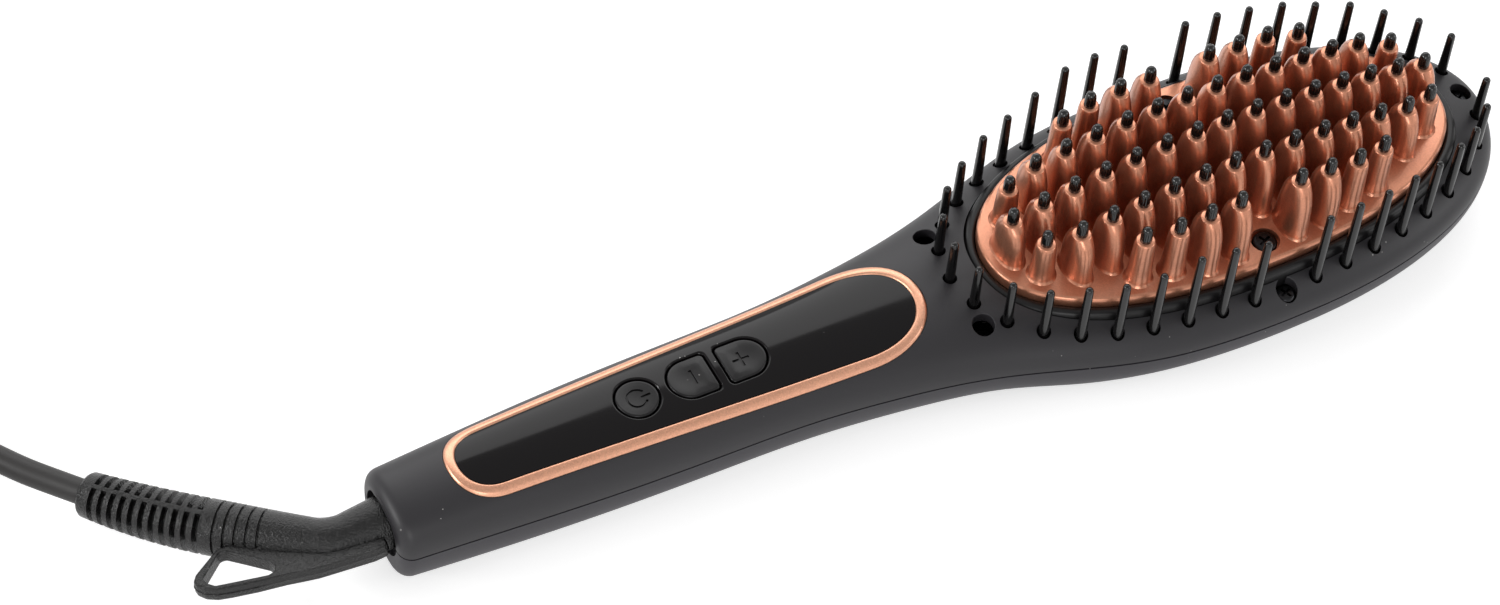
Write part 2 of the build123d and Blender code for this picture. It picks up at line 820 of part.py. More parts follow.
# Swivel: bush held in the casing, slip rings on the turning spindle
with BuildPart() as swivel_bush:
    with BuildSketch(Plane.YZ.offset(cord_end_x + mouth_depth)):
        with Locations((0, parting_height)):
            Circle(bush_radius)
            Circle(bush_bore, mode=Mode.SUBTRACT)
    extrude(amount=bush_length - bush_gap)
save(swivel_bush, "swivel_bush")

with BuildPart() as slip_rings:
    for ring_x in slip_ring_places:
        with BuildSketch(Plane.YZ.offset(ring_x - slip_ring_width / 2)):
            with Locations((0, parting_height)):
                Circle(slip_ring_radius)
                Circle(spindle_radius, mode=Mode.SUBTRACT)
        extrude(amount=slip_ring_width)
save(slip_rings, "slip_rings")

# Strain relief: stem, cone, elbow, ribbed sleeve and hanging loop in one moulding
lean = math.radians(elbow_angle)
droop = math.radians(elbow_droop)
corner = Vector(elbow_x, 0, parting_height)
sleeve_way = Vector(-math.cos(lean), math.sin(lean) * math.cos(droop), math.sin(lean) * math.sin(droop))
setback = bend_radius * math.tan(lean / 2)
bend_start = corner + Vector(setback, 0, 0)
bend_end = corner + sleeve_way * setback
side_way = Vector(0, math.cos(droop), math.sin(droop))

collar_start = cord_end_x + mouth_depth + bush_length + bush_gap
collar_end = collar_start + collar_thick
stem_profile = [
    (collar_end + spindle_length, 0),
    (collar_end + spindle_length, spindle_radius),
    (collar_end, spindle_radius),
    (collar_end, collar_radius),
    (collar_start, collar_radius),
    (collar_start, stem_radius),
    (cord_end_x + stem_step, stem_radius),
    (cord_end_x + stem_step, cone_radius),
    (cord_end_x, cone_radius),
    (bend_start.X, elbow_radius),
    (bend_start.X, 0),
]


def sleeve_radius(place):
    """Outer radius of the sleeve at a distance from the elbow's corner."""
    return sleeve_start_radius + (sleeve_end_radius - sleeve_start_radius) * place / sleeve_length


sleeve_profile = [(setback, 0), (setback, elbow_radius), (setback + sleeve_shoulder, sleeve_radius(setback))]
for number in range(groove_count):
    place = groove_start + number * groove_pitch
    outer = sleeve_radius(place)
    sleeve_profile += [(place, outer), (place, outer - groove_depth)]
    sleeve_profile += [(place + groove_width, outer - groove_depth)]
    sleeve_profile.append((place + groove_width, outer))
for number in range(rib_count):
    place = rib_start + number * rib_pitch
    outer = sleeve_radius(place)
    sleeve_profile += [(place, outer), (place, rib_core_radius), (place + rib_slot, rib_core_radius)]
    sleeve_profile.append((place + rib_slot, outer))
sleeve_profile += [(sleeve_length, sleeve_end_radius), (sleeve_length, 0)]

with BuildPart() as strain_relief:
    with BuildSketch(Plane(origin=(0, 0, parting_height), x_dir=(1, 0, 0), z_dir=(0, -1, 0))):
        with BuildLine():
            Polyline(*stem_profile, close=True)
        make_face()
    revolve(axis=Axis((0, 0, parting_height), (1, 0, 0)))
    with BuildLine() as bend_path:
        TangentArc(bend_start, bend_end, tangent=(-1, 0, 0))
    with BuildSketch(Plane(origin=bend_start, z_dir=(-1, 0, 0))):
        Circle(elbow_radius)
    sweep()
    loop_normal = Vector(1, 0, 0).cross(side_way)
    with BuildSketch(Plane(origin=corner, x_dir=sleeve_way, z_dir=loop_normal)):
        with BuildLine():
            Polyline(*sleeve_profile, close=True)
        make_face()
    revolve(axis=Axis(corner, sleeve_way))
    loop_plane = Plane(origin=(0, 0, parting_height), x_dir=(1, 0, 0), z_dir=loop_normal)
    with BuildSketch(loop_plane.offset(-loop_thick / 2)):
        with BuildLine():
            Polyline(*loop_outline, close=True)
        make_face()
        with BuildLine():
            Polyline(*loop_hole, close=True)
        make_face(mode=Mode.SUBTRACT)
    extrude(amount=loop_thick)
save(strain_relief, "strain_relief")

# Cord as far as the coil
sleeve_end = corner + sleeve_way * sleeve_length
heading = math.radians(coil_heading)
coil_start = Vector(*cord_turn, coil_base) + Vector(-math.sin(heading), math.cos(heading), 0) * coil_lead
coil_x = coil_start.X - coil_outer * math.cos(heading)
coil_y = coil_start.Y - coil_outer * math.sin(heading)
half_step = (math.pi * coil_half_turns - heading) / coil_half_turns


def coil_node(number):
    """Place and direction of the coiled cord at one of its half turns."""
    middle = coil_half_turns / 2
    spread = (number - middle) * half_step / (2 * math.pi)
    radius = coil_outer - coil_pitch * (middle * half_step / (2 * math.pi) - abs(spread))
    turn = heading + number * half_step
    swell = math.copysign(coil_pitch / (2 * math.pi), spread)
    height = coil_base if number < middle else coil_base + coil_pitch
    place = Vector(coil_x + radius * math.cos(turn), coil_y + radius * math.sin(turn), height)
    way = Vector(
        swell * math.cos(turn) - radius * math.sin(turn),
        swell * math.sin(turn) + radius * math.cos(turn),
        0,
    )
    return place, way.normalized()


def joint_of_arcs(start, start_way, end, end_way):
    """Where two arcs meet that join one direction to another smoothly."""
    chord = end - start
    along = chord.dot(start_way + end_way)
    spare = 2 * (1 - start_way.dot(end_way))
    reach = (math.sqrt(along**2 + spare * chord.dot(chord)) - along) / spare
    return (start + end + (start_way - end_way) * reach) / 2


nodes = [coil_node(number) for number in range(coil_half_turns + 1)]
with BuildPart() as cord_coil:
    with BuildLine() as coil_path:
        Line(nodes[0][0] - nodes[0][1] * cord_end_gap, nodes[0][0])
        for (start, start_way), (end, end_way) in zip(nodes, nodes[1:]):
            middle = joint_of_arcs(start, start_way, end, end_way)
            first = TangentArc(start, middle, tangent=start_way)
            TangentArc(middle, end, tangent=first % 1)
        Line(nodes[-1][0], nodes[-1][0] + nodes[-1][1] * cord_end_gap)
    with BuildSketch(Plane(origin=coil_path.line @ 0, z_dir=nodes[0][1])):
        RegularPolygon(coil_tube_radius, coil_sides)
    sweep()
save(cord_coil, "cord_coil")
coil_wire = coil_path.wire()
samples = 1500
marks = [coil_wire @ (step / samples) for step in range(samples + 1)]
apart = math.ceil(6 * cord_radius / (coil_wire.length / samples))
least = min((marks[i] - there).length for i in range(0, samples, 3) for there in marks[i + apart :])
flat_radius = coil_tube_radius * math.cos(math.pi / coil_sides)
print("coil length", round(coil_wire.length), "least gap", round(least - 2 * flat_radius, 2))
coil_in = nodes[0][0] - nodes[0][1] * cord_end_gap
coil_out = nodes[-1][0] + nodes[-1][1] * cord_end_gap
plug_mouth = Vector(coil_out.X, coil_out.Y - plug_drop, plug_height / 2)
coil_inner = coil_outer - coil_pitch * coil_half_turns / 2 * half_step / (2 * math.pi)


def rounded_path(points):
    """Straight runs joined by the largest arcs that fit them."""
    radii = []
    for before, here, after in zip(points, points[1:], points[2:]):
        turn = math.radians((here - before).get_angle(after - here))
        shorter = min((here - before).length, (after - here).length)
        radii.append(0.45 * shorter / math.tan(turn / 2))
    print("bend radii", [round(radius) for radius in radii])
    return FilletPolyline(*points, radius=radii)


def tube(points):
    """A round cord along a path of straight runs and arcs."""
    with BuildPart() as run:
        with BuildLine() as path:
            rounded_path(points)
        with BuildSketch(Plane(origin=points[0], z_dir=points[1] - points[0])):
            Circle(cord_radius)
        sweep()
    length = path.wire().length
    print("cord run", round(length, 1), "volume share", run.part.volume / (math.pi * cord_radius**2 * length))
    return run.part


# Wires from the board to the heater
with BuildPart() as heater_leads:
    for side in (1, -1):
        route = [Vector(x, side * y, z) for x, y, z in lead_route]
        with BuildLine():
            rounded_path(route)
        with BuildSketch(Plane(origin=route[0], z_dir=route[1] - route[0])):
            RegularPolygon(lead_radius, 6)
        sweep()
save(heater_leads, "heater_leads")

with BuildPart() as cord:
    lead_out = sleeve_end + sleeve_way * sleeve_lead
    lead_in = coil_in - nodes[0][1] * coil_in_lead
    add(tube([sleeve_end, lead_out, *[Vector(*point) for point in cord_route], lead_in, coil_in]))
    lead_out = coil_out + nodes[-1][1] * plug_lead
    add(tube([coil_out, lead_out, plug_mouth + Vector(0, plug_lead, 0), plug_mouth]))
save(cord, "cord")

# Tie round the coiled cord
tie_inside = coil_inner - coil_tube_radius - tie_gap
tie_outside = coil_outer - tie_gap
with BuildPart() as cord_tie:
    with BuildSketch(Plane.YZ.offset(coil_x - tie_width / 2)):
        with Locations((coil_y - (tie_inside + tie_outside) / 2, tie_height / 2)):
            span = tie_outside - tie_inside
            RectangleRounded(span + 2 * tie_thick, tie_height, tie_rounding)
            RectangleRounded(span, tie_height - 2 * tie_thick, tie_rounding - tie_thick, mode=Mode.SUBTRACT)
    extrude(amount=tie_width)
save(cord_tie, "cord_tie")

# Mains plug, flat two-pin pattern
with BuildPart() as plug:
    with BuildSketch():
        with BuildLine():
            half = [*plug_outline, (0, plug_outline[-1][1])]
            Polyline(*[(plug_mouth.X + x, plug_mouth.Y + y) for x, y in half])
            Polyline(*[(plug_mouth.X - x, plug_mouth.Y + y) for x, y in half])
        make_face()
    extrude(amount=plug_height)
    chamfer(plug.edges().filter_by(Axis.Z), plug_bevel)
    chamfer(plug.faces().sort_by(Axis.Z)[-1].edges(), plug_bevel)
    chamfer(plug.faces().sort_by(Axis.Z)[0].edges(), plug_bevel)
save(plug, "plug")

with BuildPart() as plug_pins:
    with BuildSketch(Plane.XZ.offset(-plug_mouth.Y - plug_outline[-1][1])):
        for side in (1, -1):
            with Locations((plug_mouth.X + side * plug_pin_gap / 2, plug_mouth.Z)):
                Circle(plug_pin_radius)
    extrude(amount=plug_pin_length)
    chamfer(plug_pins.faces().sort_by(Axis.Y)[:2].edges(), plug_pin_bevel)
save(plug_pins, "plug_pins")
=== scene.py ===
"""Looks of a heated hair straightening brush: casing, comb, keys, swivel cord and a pale studio."""

import math
from collections import Counter

import bmesh
import bpy
import numpy as np
from mathutils import Matrix, Vector, interpolate
from mathutils.bvhtree import BVHTree


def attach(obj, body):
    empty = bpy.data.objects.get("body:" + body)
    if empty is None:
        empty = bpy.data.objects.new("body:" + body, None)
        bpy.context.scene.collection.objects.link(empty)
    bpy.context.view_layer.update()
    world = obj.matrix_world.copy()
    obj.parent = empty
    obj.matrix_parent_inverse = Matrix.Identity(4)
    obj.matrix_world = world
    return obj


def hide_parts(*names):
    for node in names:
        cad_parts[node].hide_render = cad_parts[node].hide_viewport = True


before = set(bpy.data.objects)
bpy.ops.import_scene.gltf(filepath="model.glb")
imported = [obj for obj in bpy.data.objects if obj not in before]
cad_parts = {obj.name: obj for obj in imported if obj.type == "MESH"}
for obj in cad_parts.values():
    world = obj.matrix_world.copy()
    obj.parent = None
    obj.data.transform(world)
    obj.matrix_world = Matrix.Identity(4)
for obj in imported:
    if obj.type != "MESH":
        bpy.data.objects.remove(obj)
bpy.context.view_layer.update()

MM = 0.001

# Casing, in millimetres, as the part has it
CORD_END_X = -134.0
HEAD_X = 64.2
HEAD_HALF_LENGTH = 69.8
HEAD_HALF_WIDTH = 34.3
HEAD_POWER = 2.25
END_FALL = 0.45
CROWN_RISE = 9.9
PARTING = 13.0
WALL = 2.4
REST_CUT = 0.15
CROWN_FULLNESS = 0.676
GRIP_BELLY_FULLNESS = 0.70
HEAD_BELLY_FULLNESS = 0.80
BELLY_FLAT = 0.3
END_ROUNDING = 3.0
SEAM_GAP = 0.44
SEAM_DEPTH = 0.6
MOUTH_RADIUS = 7.2
GRIP_OUTLINE = [
    (0, 10.9, 0.9),
    (21, 12.3, 0.985),
    (47, 13.9, 1),
    (73, 14.6, 1),
    (94, 15.3, 1),
    (109, 16.9, 1),
    (122, 18.9, 1),
    (136, 22.2, 1),
]
NECK_SLICES = [46.5, 31.0, 15.5]

# Comb
PLATE_HALF_LENGTH = 57.3
PLATE_HALF_WIDTH = 26.0
PLATE_POWER = 2.2
PLATE_TOP = 24.5
PLATE_BOTTOM = 21.5
OPENING_HALF_LENGTH = 59.8
OPENING_HALF_WIDTH = 28.2
SURROUND_GAP = 0.15
PLATE_GAP = 0.2
SURROUND_PROFILE = [
    (0, 15),
    (0, 21.3),
    (0.08, 21.8),
    (0.24, 22.15),
    (0.45, 22.3),
    (0.75, 22.3),
    (0.92, 22.15),
    (1, 21.8),
    (1, 15),
]
PLATE_PROFILE = [
    (0.0, PLATE_BOTTOM),
    (0.0, 23.6),
    (0.06, 23.95),
    (0.22, 24.25),
    (0.48, 24.44),
    (0.85, PLATE_TOP),
]
# Teeth: sizes of the foot over the plate, of the body at shares of its height, and the oval's power
ROUND_TOOTH = (
    [(-0.3, 3.5, 3.5), (0.0, 3.35, 3.35), (0.25, 3.05, 3.05), (0.7, 2.85, 2.85)],
    [(0.3, 2.62, 2.62), (0.65, 2.45, 2.45), (0.9, 2.32, 2.32)],
    2.0,
)
FIN = (
    [(-0.3, 5.6, 3.35), (0.0, 5.45, 3.2), (0.25, 5.15, 2.95), (0.7, 5.0, 2.8)],
    [(0.25, 4.85, 2.7), (0.5, 4.65, 2.6), (0.68, 4.3, 2.5), (0.82, 3.7, 2.36), (0.92, 2.95, 2.22)],
    2.2,
)
TOOTH_PITCH = 7.5
TOOTH_SHIFT = -0.2
# Rows of teeth: half length in pitches, way from the middle, the same at the ends, round teeth at
# each end, and how far the tips lie under the arch
TOOTH_ROWS = [(7, 0.0, 0.0, 0, 0.0), (6.5, 10.0, 8.13, 1, 1.08), (4, 19.0, 17.6, 2, 2.22)]
ARCH_RADIUS = 213.9
ARCH_TOP = 45.5
TOOTH_LIP = [(0.3, 2.2, 2.1), (0.1, 2.08, 2.0), (0.0, 1.85, 1.8)]
TIP_HEIGHT = 4.0
TIP_SUNK = 0.15
TIP_PROFILE = [
    (0.0, 1.34),
    (0.3, 1.31),
    (0.6, 1.25),
    (0.74, 1.17),
    (0.84, 1.02),
    (0.92, 0.78),
    (0.97, 0.5),
    (0.995, 0.22),
    (1.0, 0.06),
]

# Outer bristles
PIN_HALF_LENGTH = 66.1
PIN_HALF_WIDTH = 30.1
PIN_SPACING = 8.0
TOE_PIN_MARGIN = 7.2
PIN_HOLE_RADIUS = 1.6
CUT_BOTTOM = 5.0
CUT_TOP = 60.0
PIN_NECK_HEIGHT = 34.9
PIN_FOOT = [(12.9, 1.25), (16.0, 1.22)]
PIN_PROFILE = [(8.0, 1.05), (1.2, 0.92), (0.6, 0.86), (0.25, 0.66), (0.07, 0.36), (0.0, 0.08)]
NECK_PIN_HEIGHTS = [34.7, 34.4, 34.1, 35.3, 35.5, 37.2, 40.3, 40.0, 38.5]
TOE_PIN_HEIGHTS = [39.0, 38.7, 37.8, 37.1, 35.6, 34.9, 32.8, 32.2, 31.9]

# Screws
CASING_SCREWS = [(-0.8, 13.0), (-0.8, -13.0), (64.7, 30.4), (64.7, -30.4), (129.5, 0.0)]
SCREW_HOLE_RADIUS = 2.45
SCREW_HOLE_ROUNDING = 0.2
SCREW_SEAT = 15.6
RECESS_HALF_ARM = 0.3
RECESS_TURN = 0.4
RECESS_DEPTH = 0.8
SCREW_PROFILE = [(0.0, 1.0), (0.62, 1.0), (0.82, 0.95), (0.95, 0.84), (1.0, 0.7)]
PLATE_SCREWS = [(HEAD_X, 20.6), (HEAD_X, -20.6)]
PLATE_SCREW_HOLE = 3.25
PLATE_SCREW_SEAT = 22.7

# Key panel
PANEL_X = -119.1
PANEL_LENGTH = 109.9
PANEL_SMALL_HALF = 9.2
PANEL_LARGE_HALF = 12.65
PANEL_SMALL_NOSE = 9.7
PANEL_LARGE_NOSE = 17.5
NOSE_FULLNESS = 0.62
TRIM_WIDTH = 2.3
TRIM_PROFILE = [
    (0.0, -1.5),
    (0.0, 0.02),
    (0.05, 0.1),
    (0.33, 0.38),
    (0.45, 0.45),
    (1.1, 0.5),
    (1.8, 0.45),
    (1.98, 0.38),
    (2.24, 0.12),
    (2.3, 0.02),
    (2.3, -1.5),
]
PANEL_SEAT = 1.5
PANEL_FIT = 0.1
PANEL_PROUD = 0.1
PANEL_GAP = 0.08
PANEL_CUT_BOTTOM = 14.5
KEYS = [("power_button", -76.1, 0), ("minus_button", -63.9, 1), ("plus_button", -51.2, -1)]
POWER_KEY_RADIUS = 4.95
D_KEY_RADIUS = 5.1
D_KEY_STRAIGHT = 5.3
KEY_CORNER = 1.2
KEY_GAP = 0.3
KEY_HOLE_ROUNDING = 0.6
KEY_BOTTOM = 17.6
KEY_RIM = 0.55
KEY_RIM_DROP = 0.08
KEY_PROFILE = [(0.0, 0.42), (0.05, 0.25), (0.16, 0.12), (0.34, 0.06), (KEY_RIM, KEY_RIM_DROP)]
KEY_DISH = 0.3
KEY_DISH_MARGIN = 0.6
SIGN_FLOOR = 0.64
SIGN_REACH = 1.9
SIGN_HALF_STROKE = 0.3
SIGN_SHIFT = 0.8
POWER_SIGN_OUTER = 2.4
POWER_SIGN_INNER = 1.88
POWER_SIGN_OPEN = 32.0

# Strain relief and its loop
ELBOW_X = -146.3
ELBOW_ANGLE = 45.0
ELBOW_DROOP = -11.0
SLEEVE_BEND = 9.0
BEND_RADIUS = 10.0
GROOVE_START = 13.85
GROOVE_PITCH = 2.24
GROOVE_COUNT = 5
GROOVE_WIDTH = 0.5
GROOVE_DEPTH = 0.6
RIB_START = 26.0
RIB_PITCH = 2.3
RIB_COUNT = 11
RIB_SLOT = 1.15
RIB_CORE_RADIUS = 3.7
WEB_TURN = -0.28
WEB_HALF_ANGLE = 0.14
CONE_RADIUS = 5.75
ELBOW_RADIUS = 4.9
SLEEVE_LENGTH = 53.0
SLEEVE_RADIUS = 5.9
SLEEVE_THICKEST = 24.0
SLEEVE_END_RADIUS = 4.85
LOOP_THICK = 3.4
LOOP_MIDDLE = (-165.4, 1.2)
LOOP_CORNER = 1.5
LOOP_HOLE_CORNER = 0.8
LOOP_OUTLINE = [
    (-157.0, 8.9),
    (-167.0, 8.7),
    (-173.6, 3.9),
    (-174.7, 2.3),
    (-174.6, 0.6),
    (-173.4, -1.3),
    (-171.2, -2.8),
    (-168.2, -3.7),
    (-162.8, -4.9),
    (-157.2, -5.8),
    (-150.3, -6.3),
    (-138.5, -8.4),
    (-135.0, -8.1),
    (-135.0, -3.0),
]
LOOP_HOLE = [
    (-165.4, 7.0),
    (-158.8, 0.0),
    (-158.3, -1.7),
    (-158.9, -3.1),
    (-160.3, -3.4),
    (-170.6, -1.0),
    (-171.7, 0.3),
    (-172.0, 1.8),
    (-166.5, 7.1),
]

# Cord
CORD_RADIUS = 2.8
CORD_TURN = (-196.0, 55.0)
CORD_ROUTE = [(-194.6, 51.0, 3.8), (-203.5, 65.4, 2.85)]
CORD_END_GAP = 5.2
SLEEVE_LEAD = 8.0
CORD_INSIDE = 1.6
COIL_IN_LEAD = 12.0
PLUG_LEAD = 10.0
COIL_LEAD = 44.0
COIL_HEADING = 33.5
COIL_OUTER = 39.5
COIL_PITCH = 5.7
COIL_BASE = 3.9
COIL_HALF_TURNS = 15
COIL_POINTS_PER_TURN = 20
PLUG_DROP = 30.0
PLUG_HEIGHT = 14.0

# Camera, from the photograph's perspective
CAMERA_PLACE = (-0.3154, -0.43035, 0.69993)
CAMERA_RIGHT = (0.88678371, -0.45874548, 0.05627827)
CAMERA_UP = (0.33480825, 0.72155165, 0.60602529)
CAMERA_LENS = 97.14
SENSOR_WIDTH = 36.0

# Studio light
STUDIO_LIGHT = 0.36
FLOOR_GLOW = 0.6


# Shader nodes

def feed(tree, socket, value):
    """Gives a socket a fixed value, or joins another node's output to it."""
    if isinstance(value, bpy.types.NodeSocket):
        tree.links.new(value, socket)
    else:
        socket.default_value = value


def maths(tree, operation, first, second):
    """A Math node fed by sockets or numbers."""
    node = tree.nodes.new("ShaderNodeMath")
    node.operation = operation
    feed(tree, node.inputs[0], first)
    feed(tree, node.inputs[1], second)
    return node.outputs[0]


def noise(tree, place, scale, detail):
    """A noise value over the surface, with its scale a number or a socket."""
    node = tree.nodes.new("ShaderNodeTexNoise")
    feed(tree, node.inputs["Vector"], place)
    feed(tree, node.inputs["Scale"], scale)
    feed(tree, node.inputs["Detail"], detail)
    return node.outputs["Fac"]


def ramp(tree, value, start, end, low=0.0, high=1.0):
    """A Map Range node that runs from low to high while the value goes from start to end."""
    node = tree.nodes.new("ShaderNodeMapRange")
    feed(tree, node.inputs["Value"], value)
    feed(tree, node.inputs["From Min"], start)
    feed(tree, node.inputs["From Max"], end)
    feed(tree, node.inputs["To Min"], low)
    feed(tree, node.inputs["To Max"], high)
    return node


def cells(tree, place, scale):
    """A Voronoi node and the red and green of its random cell colours."""
    node = tree.nodes.new("ShaderNodeTexVoronoi")
    feed(tree, node.inputs["Vector"], place)
    feed(tree, node.inputs["Scale"], scale)
    parts = tree.nodes.new("ShaderNodeSeparateColor")
    feed(tree, parts.inputs["Color"], node.outputs["Color"])
    return node, parts.outputs["Red"], parts.outputs["Green"]


def new_group(name, inputs, outputs):
    """A shader group with number sockets: the group, its start, its end and places on the piece."""
    group = bpy.data.node_groups.new(name, "ShaderNodeTree")
    for label, value in inputs.items():
        socket = group.interface.new_socket(label, in_out="INPUT", socket_type="NodeSocketFloat")
        socket.default_value = value
    for label in outputs:
        group.interface.new_socket(label, in_out="OUTPUT", socket_type="NodeSocketFloat")
    start = group.nodes.new("NodeGroupInput").outputs
    end = group.nodes.new("NodeGroupOutput").inputs
    place = group.nodes.new("ShaderNodeTexCoord").outputs["Object"]
    return group, start, end, place


def make_moulded_grain():
    """Fine pebbled grain of moulded plastic: a height, a roughness drift and a tone drift."""
    inputs = {"Grain Scale": 2500.0, "Tone Drift": 0.1, "Base Roughness": 0.4}
    group, start, end, place = new_group("moulded grain", inputs, ("Height", "Roughness", "Tone"))
    feed(group, end["Height"], noise(group, place, start["Grain Scale"], 2.0))
    drift = maths(group, "SUBTRACT", noise(group, place, 35.0, 3.0), 0.5)
    rough = maths(group, "MULTIPLY", drift, 0.14)
    feed(group, end["Roughness"], maths(group, "ADD", start["Base Roughness"], rough))
    tone = maths(group, "MULTIPLY", drift, start["Tone Drift"])
    feed(group, end["Tone"], maths(group, "ADD", 1.0, tone))
    return group


def make_metal_flake():
    """Fine flake of a satin metallic finish: a height, a roughness drift and a sparkle mask."""
    inputs = {"Flake Scale": 4200.0, "Base Roughness": 0.3}
    group, start, end, place = new_group("metal flake", inputs, ("Height", "Roughness", "Sparkle"))
    flake, height, sparkle = cells(group, place, start["Flake Scale"])
    feed(group, end["Height"], height)
    feed(group, end["Sparkle"], sparkle)
    drift = maths(group, "SUBTRACT", noise(group, place, 60.0, 3.0), 0.5)
    rough = maths(group, "MULTIPLY", drift, 0.12)
    feed(group, end["Roughness"], maths(group, "ADD", start["Base Roughness"], rough))
    return group


def make_dust():
    """Sparse pale specks lying on a dark surface, in patches."""
    inputs = {"Speck Scale": 700.0, "Amount": 0.5}
    group, start, end, place = new_group("dust specks", inputs, ("Specks",))
    speck, size, choice = cells(group, place, start["Speck Scale"])
    near = maths(group, "LESS_THAN", speck.outputs["Distance"], maths(group, "MULTIPLY", size, 0.16))
    chosen = maths(group, "GREATER_THAN", choice, 0.9)
    patch = ramp(group, noise(group, place, 45.0, 2.0), 0.52, 0.7).outputs["Result"]
    specks = maths(group, "MULTIPLY", maths(group, "MULTIPLY", near, chosen), patch)
    feed(group, end["Specks"], maths(group, "MULTIPLY", specks, start["Amount"]))
    return group


MOULDED_GRAIN = make_moulded_grain()
METAL_FLAKE = make_metal_flake()
DUST_SPECKS = make_dust()
DUST_COLOUR = (0.6, 0.58, 0.56)


def new_material(name):
    """A material with its node tree and the sockets of its Principled shader."""
    material = bpy.data.materials.new(name)
    material.use_nodes = True
    return material, material.node_tree, material.node_tree.nodes["Principled BSDF"].inputs


def place_group(tree, group, values):
    """The outputs of one use of a node group, with its own values."""
    node = tree.nodes.new("ShaderNodeGroup")
    node.node_tree = group
    for label, value in values.items():
        node.inputs[label].default_value = value
    return node.outputs


def add_bump(tree, shader, height, distance):
    """Feeds a height to the shader's normal."""
    bump = tree.nodes.new("ShaderNodeBump")
    feed(tree, bump.inputs["Distance"], distance)
    feed(tree, bump.inputs["Height"], height)
    feed(tree, shader["Normal"], bump.outputs["Normal"])


def mixed(tree, blend, first, second, factor):
    """Blends two colours, each a socket or three numbers."""
    node = tree.nodes.new("ShaderNodeMix")
    node.data_type = "RGBA"
    node.blend_type = blend
    feed(tree, node.inputs["Factor"], factor)
    for label, value in (("A", first), ("B", second)):
        feed(tree, node.inputs[label], (*value, 1.0) if isinstance(value, tuple) else value)
    return node.outputs["Result"]


def plastic(name, colour, roughness, grain_scale=2500.0, depth=0.00001, drift=0.15, shine=0.5, specks=0.0):
    """A moulded plastic or rubber with grain, drift and, where wanted, dust."""
    material, tree, shader = new_material(name)
    values = {"Grain Scale": grain_scale, "Tone Drift": drift, "Base Roughness": roughness}
    grain = place_group(tree, MOULDED_GRAIN, values)
    toned = mixed(tree, "MULTIPLY", colour, grain["Tone"], 1.0)
    if specks:
        dust = place_group(tree, DUST_SPECKS, {"Amount": specks})
        toned = mixed(tree, "MIX", toned, DUST_COLOUR, dust["Specks"])
    feed(tree, shader["Base Color"], toned)
    feed(tree, shader["Roughness"], grain["Roughness"])
    feed(tree, shader["Specular IOR Level"], shine)
    add_bump(tree, shader, grain["Height"], depth)
    return material


def metal(name, colour, roughness, flake_scale=4200.0, depth=0.00001, sparkle=0.12, lacquer=0.0, purity=1.0):
    """A satin metal or metallic paint with fine flake and, where wanted, a clear lacquer."""
    material, tree, shader = new_material(name)
    flake = place_group(tree, METAL_FLAKE, {"Flake Scale": flake_scale, "Base Roughness": roughness})
    tone = maths(tree, "ADD", 1.0 - sparkle / 2, maths(tree, "MULTIPLY", flake["Sparkle"], sparkle))
    feed(tree, shader["Base Color"], mixed(tree, "MULTIPLY", colour, tone, 1.0))
    feed(tree, shader["Roughness"], flake["Roughness"])
    feed(tree, shader["Metallic"], purity)
    feed(tree, shader["Coat Weight"], lacquer)
    feed(tree, shader["Coat Roughness"], 0.12)
    add_bump(tree, shader, flake["Height"], depth)
    return material


# Looks. A plastic's numbers are roughness, grain scale, grain depth in metres, drift, shine and dust;
# a metal's are roughness, flake scale, flake depth in metres, sparkle, lacquer and purity.

SOFT_TOUCH = plastic("soft touch casing", (0.021, 0.0197, 0.0225), 0.47, 1800.0, 0.000006, 0.25, 0.4, 0.7)
# The lower shell's copy of the soft touch plastic is painted lighter than the upper's: painted light for the
# white floor's glow on the underside.
SOFT_TOUCH_BASE_PAINTED_LIGHTER = plastic("soft touch base painted lighter", (0.026, 0.0237, 0.0295), 0.5, 1800.0, 0.000006, 0.25, 0.4, 0.7)
ROSE_GOLD = metal("rose gold", (0.66, 0.335, 0.215), 0.37, 3600.0, 0.00001, 0.2, 0.3)
COPPER = metal("copper coating", (0.56, 0.235, 0.14), 0.31, 3600.0, 0.000008, 0.15, 0.25, 0.8)
PANEL_BLACK = plastic("panel black", (0.0045, 0.0035, 0.004), 0.09, 900.0, 0.0000004, 0.1, 0.2, 1.0)
KEY_BLACK = plastic("key black", (0.005, 0.0045, 0.005), 0.3, 3000.0, 0.000004, 0.2, 0.3, 0.5)
SURROUND_BLACK = plastic("surround black", (0.006, 0.0055, 0.006), 0.36, 1800.0, 0.000005, 0.15, 0.3)
TIP_BLACK = plastic("tip black", (0.004, 0.004, 0.004), 0.1, 1200.0, 0.0000003, 0.1, 0.5)
BRISTLE_BLACK = plastic("bristle black", (0.004, 0.0038, 0.004), 0.15, 2500.0, 0.000001, 0.15, 0.45)
RELIEF_BLACK = plastic("relief black", (0.0035, 0.0033, 0.0033), 0.28, 2400.0, 0.00025, 0.3, 0.4, 0.5)
CORD_GREY = plastic("cord grey", (0.02, 0.0185, 0.018), 0.52, 1500.0, 0.00003, 0.3, 0.4)
CERAMIC = plastic("ceramic", (0.70, 0.68, 0.63), 0.60, 1500.0, 0.00002)
MICA = plastic("mica", (0.50, 0.43, 0.32), 0.45, 700.0, 0.00002, 0.5)
BOARD_GREEN = plastic("board green", (0.04, 0.18, 0.08), 0.30, 900.0, 0.00001, 0.3)
PART_BLACK = plastic("part black", (0.03, 0.03, 0.03), 0.45)
LEAD_WHITE = plastic("lead white", (0.62, 0.60, 0.57), 0.55)
STEEL = metal("inner steel", (0.55, 0.55, 0.55), 0.35)
# Screw heads near black: painted shade of the deep holes they sit in.
SCREW_PAINTED_HOLE_SHADE = metal("screw painted hole shade", (0.03, 0.03, 0.032), 0.32)
BRASS = metal("brass", (0.75, 0.55, 0.25), 0.3)
PIN_METAL = metal("pin metal", (0.72, 0.69, 0.62), 0.22)

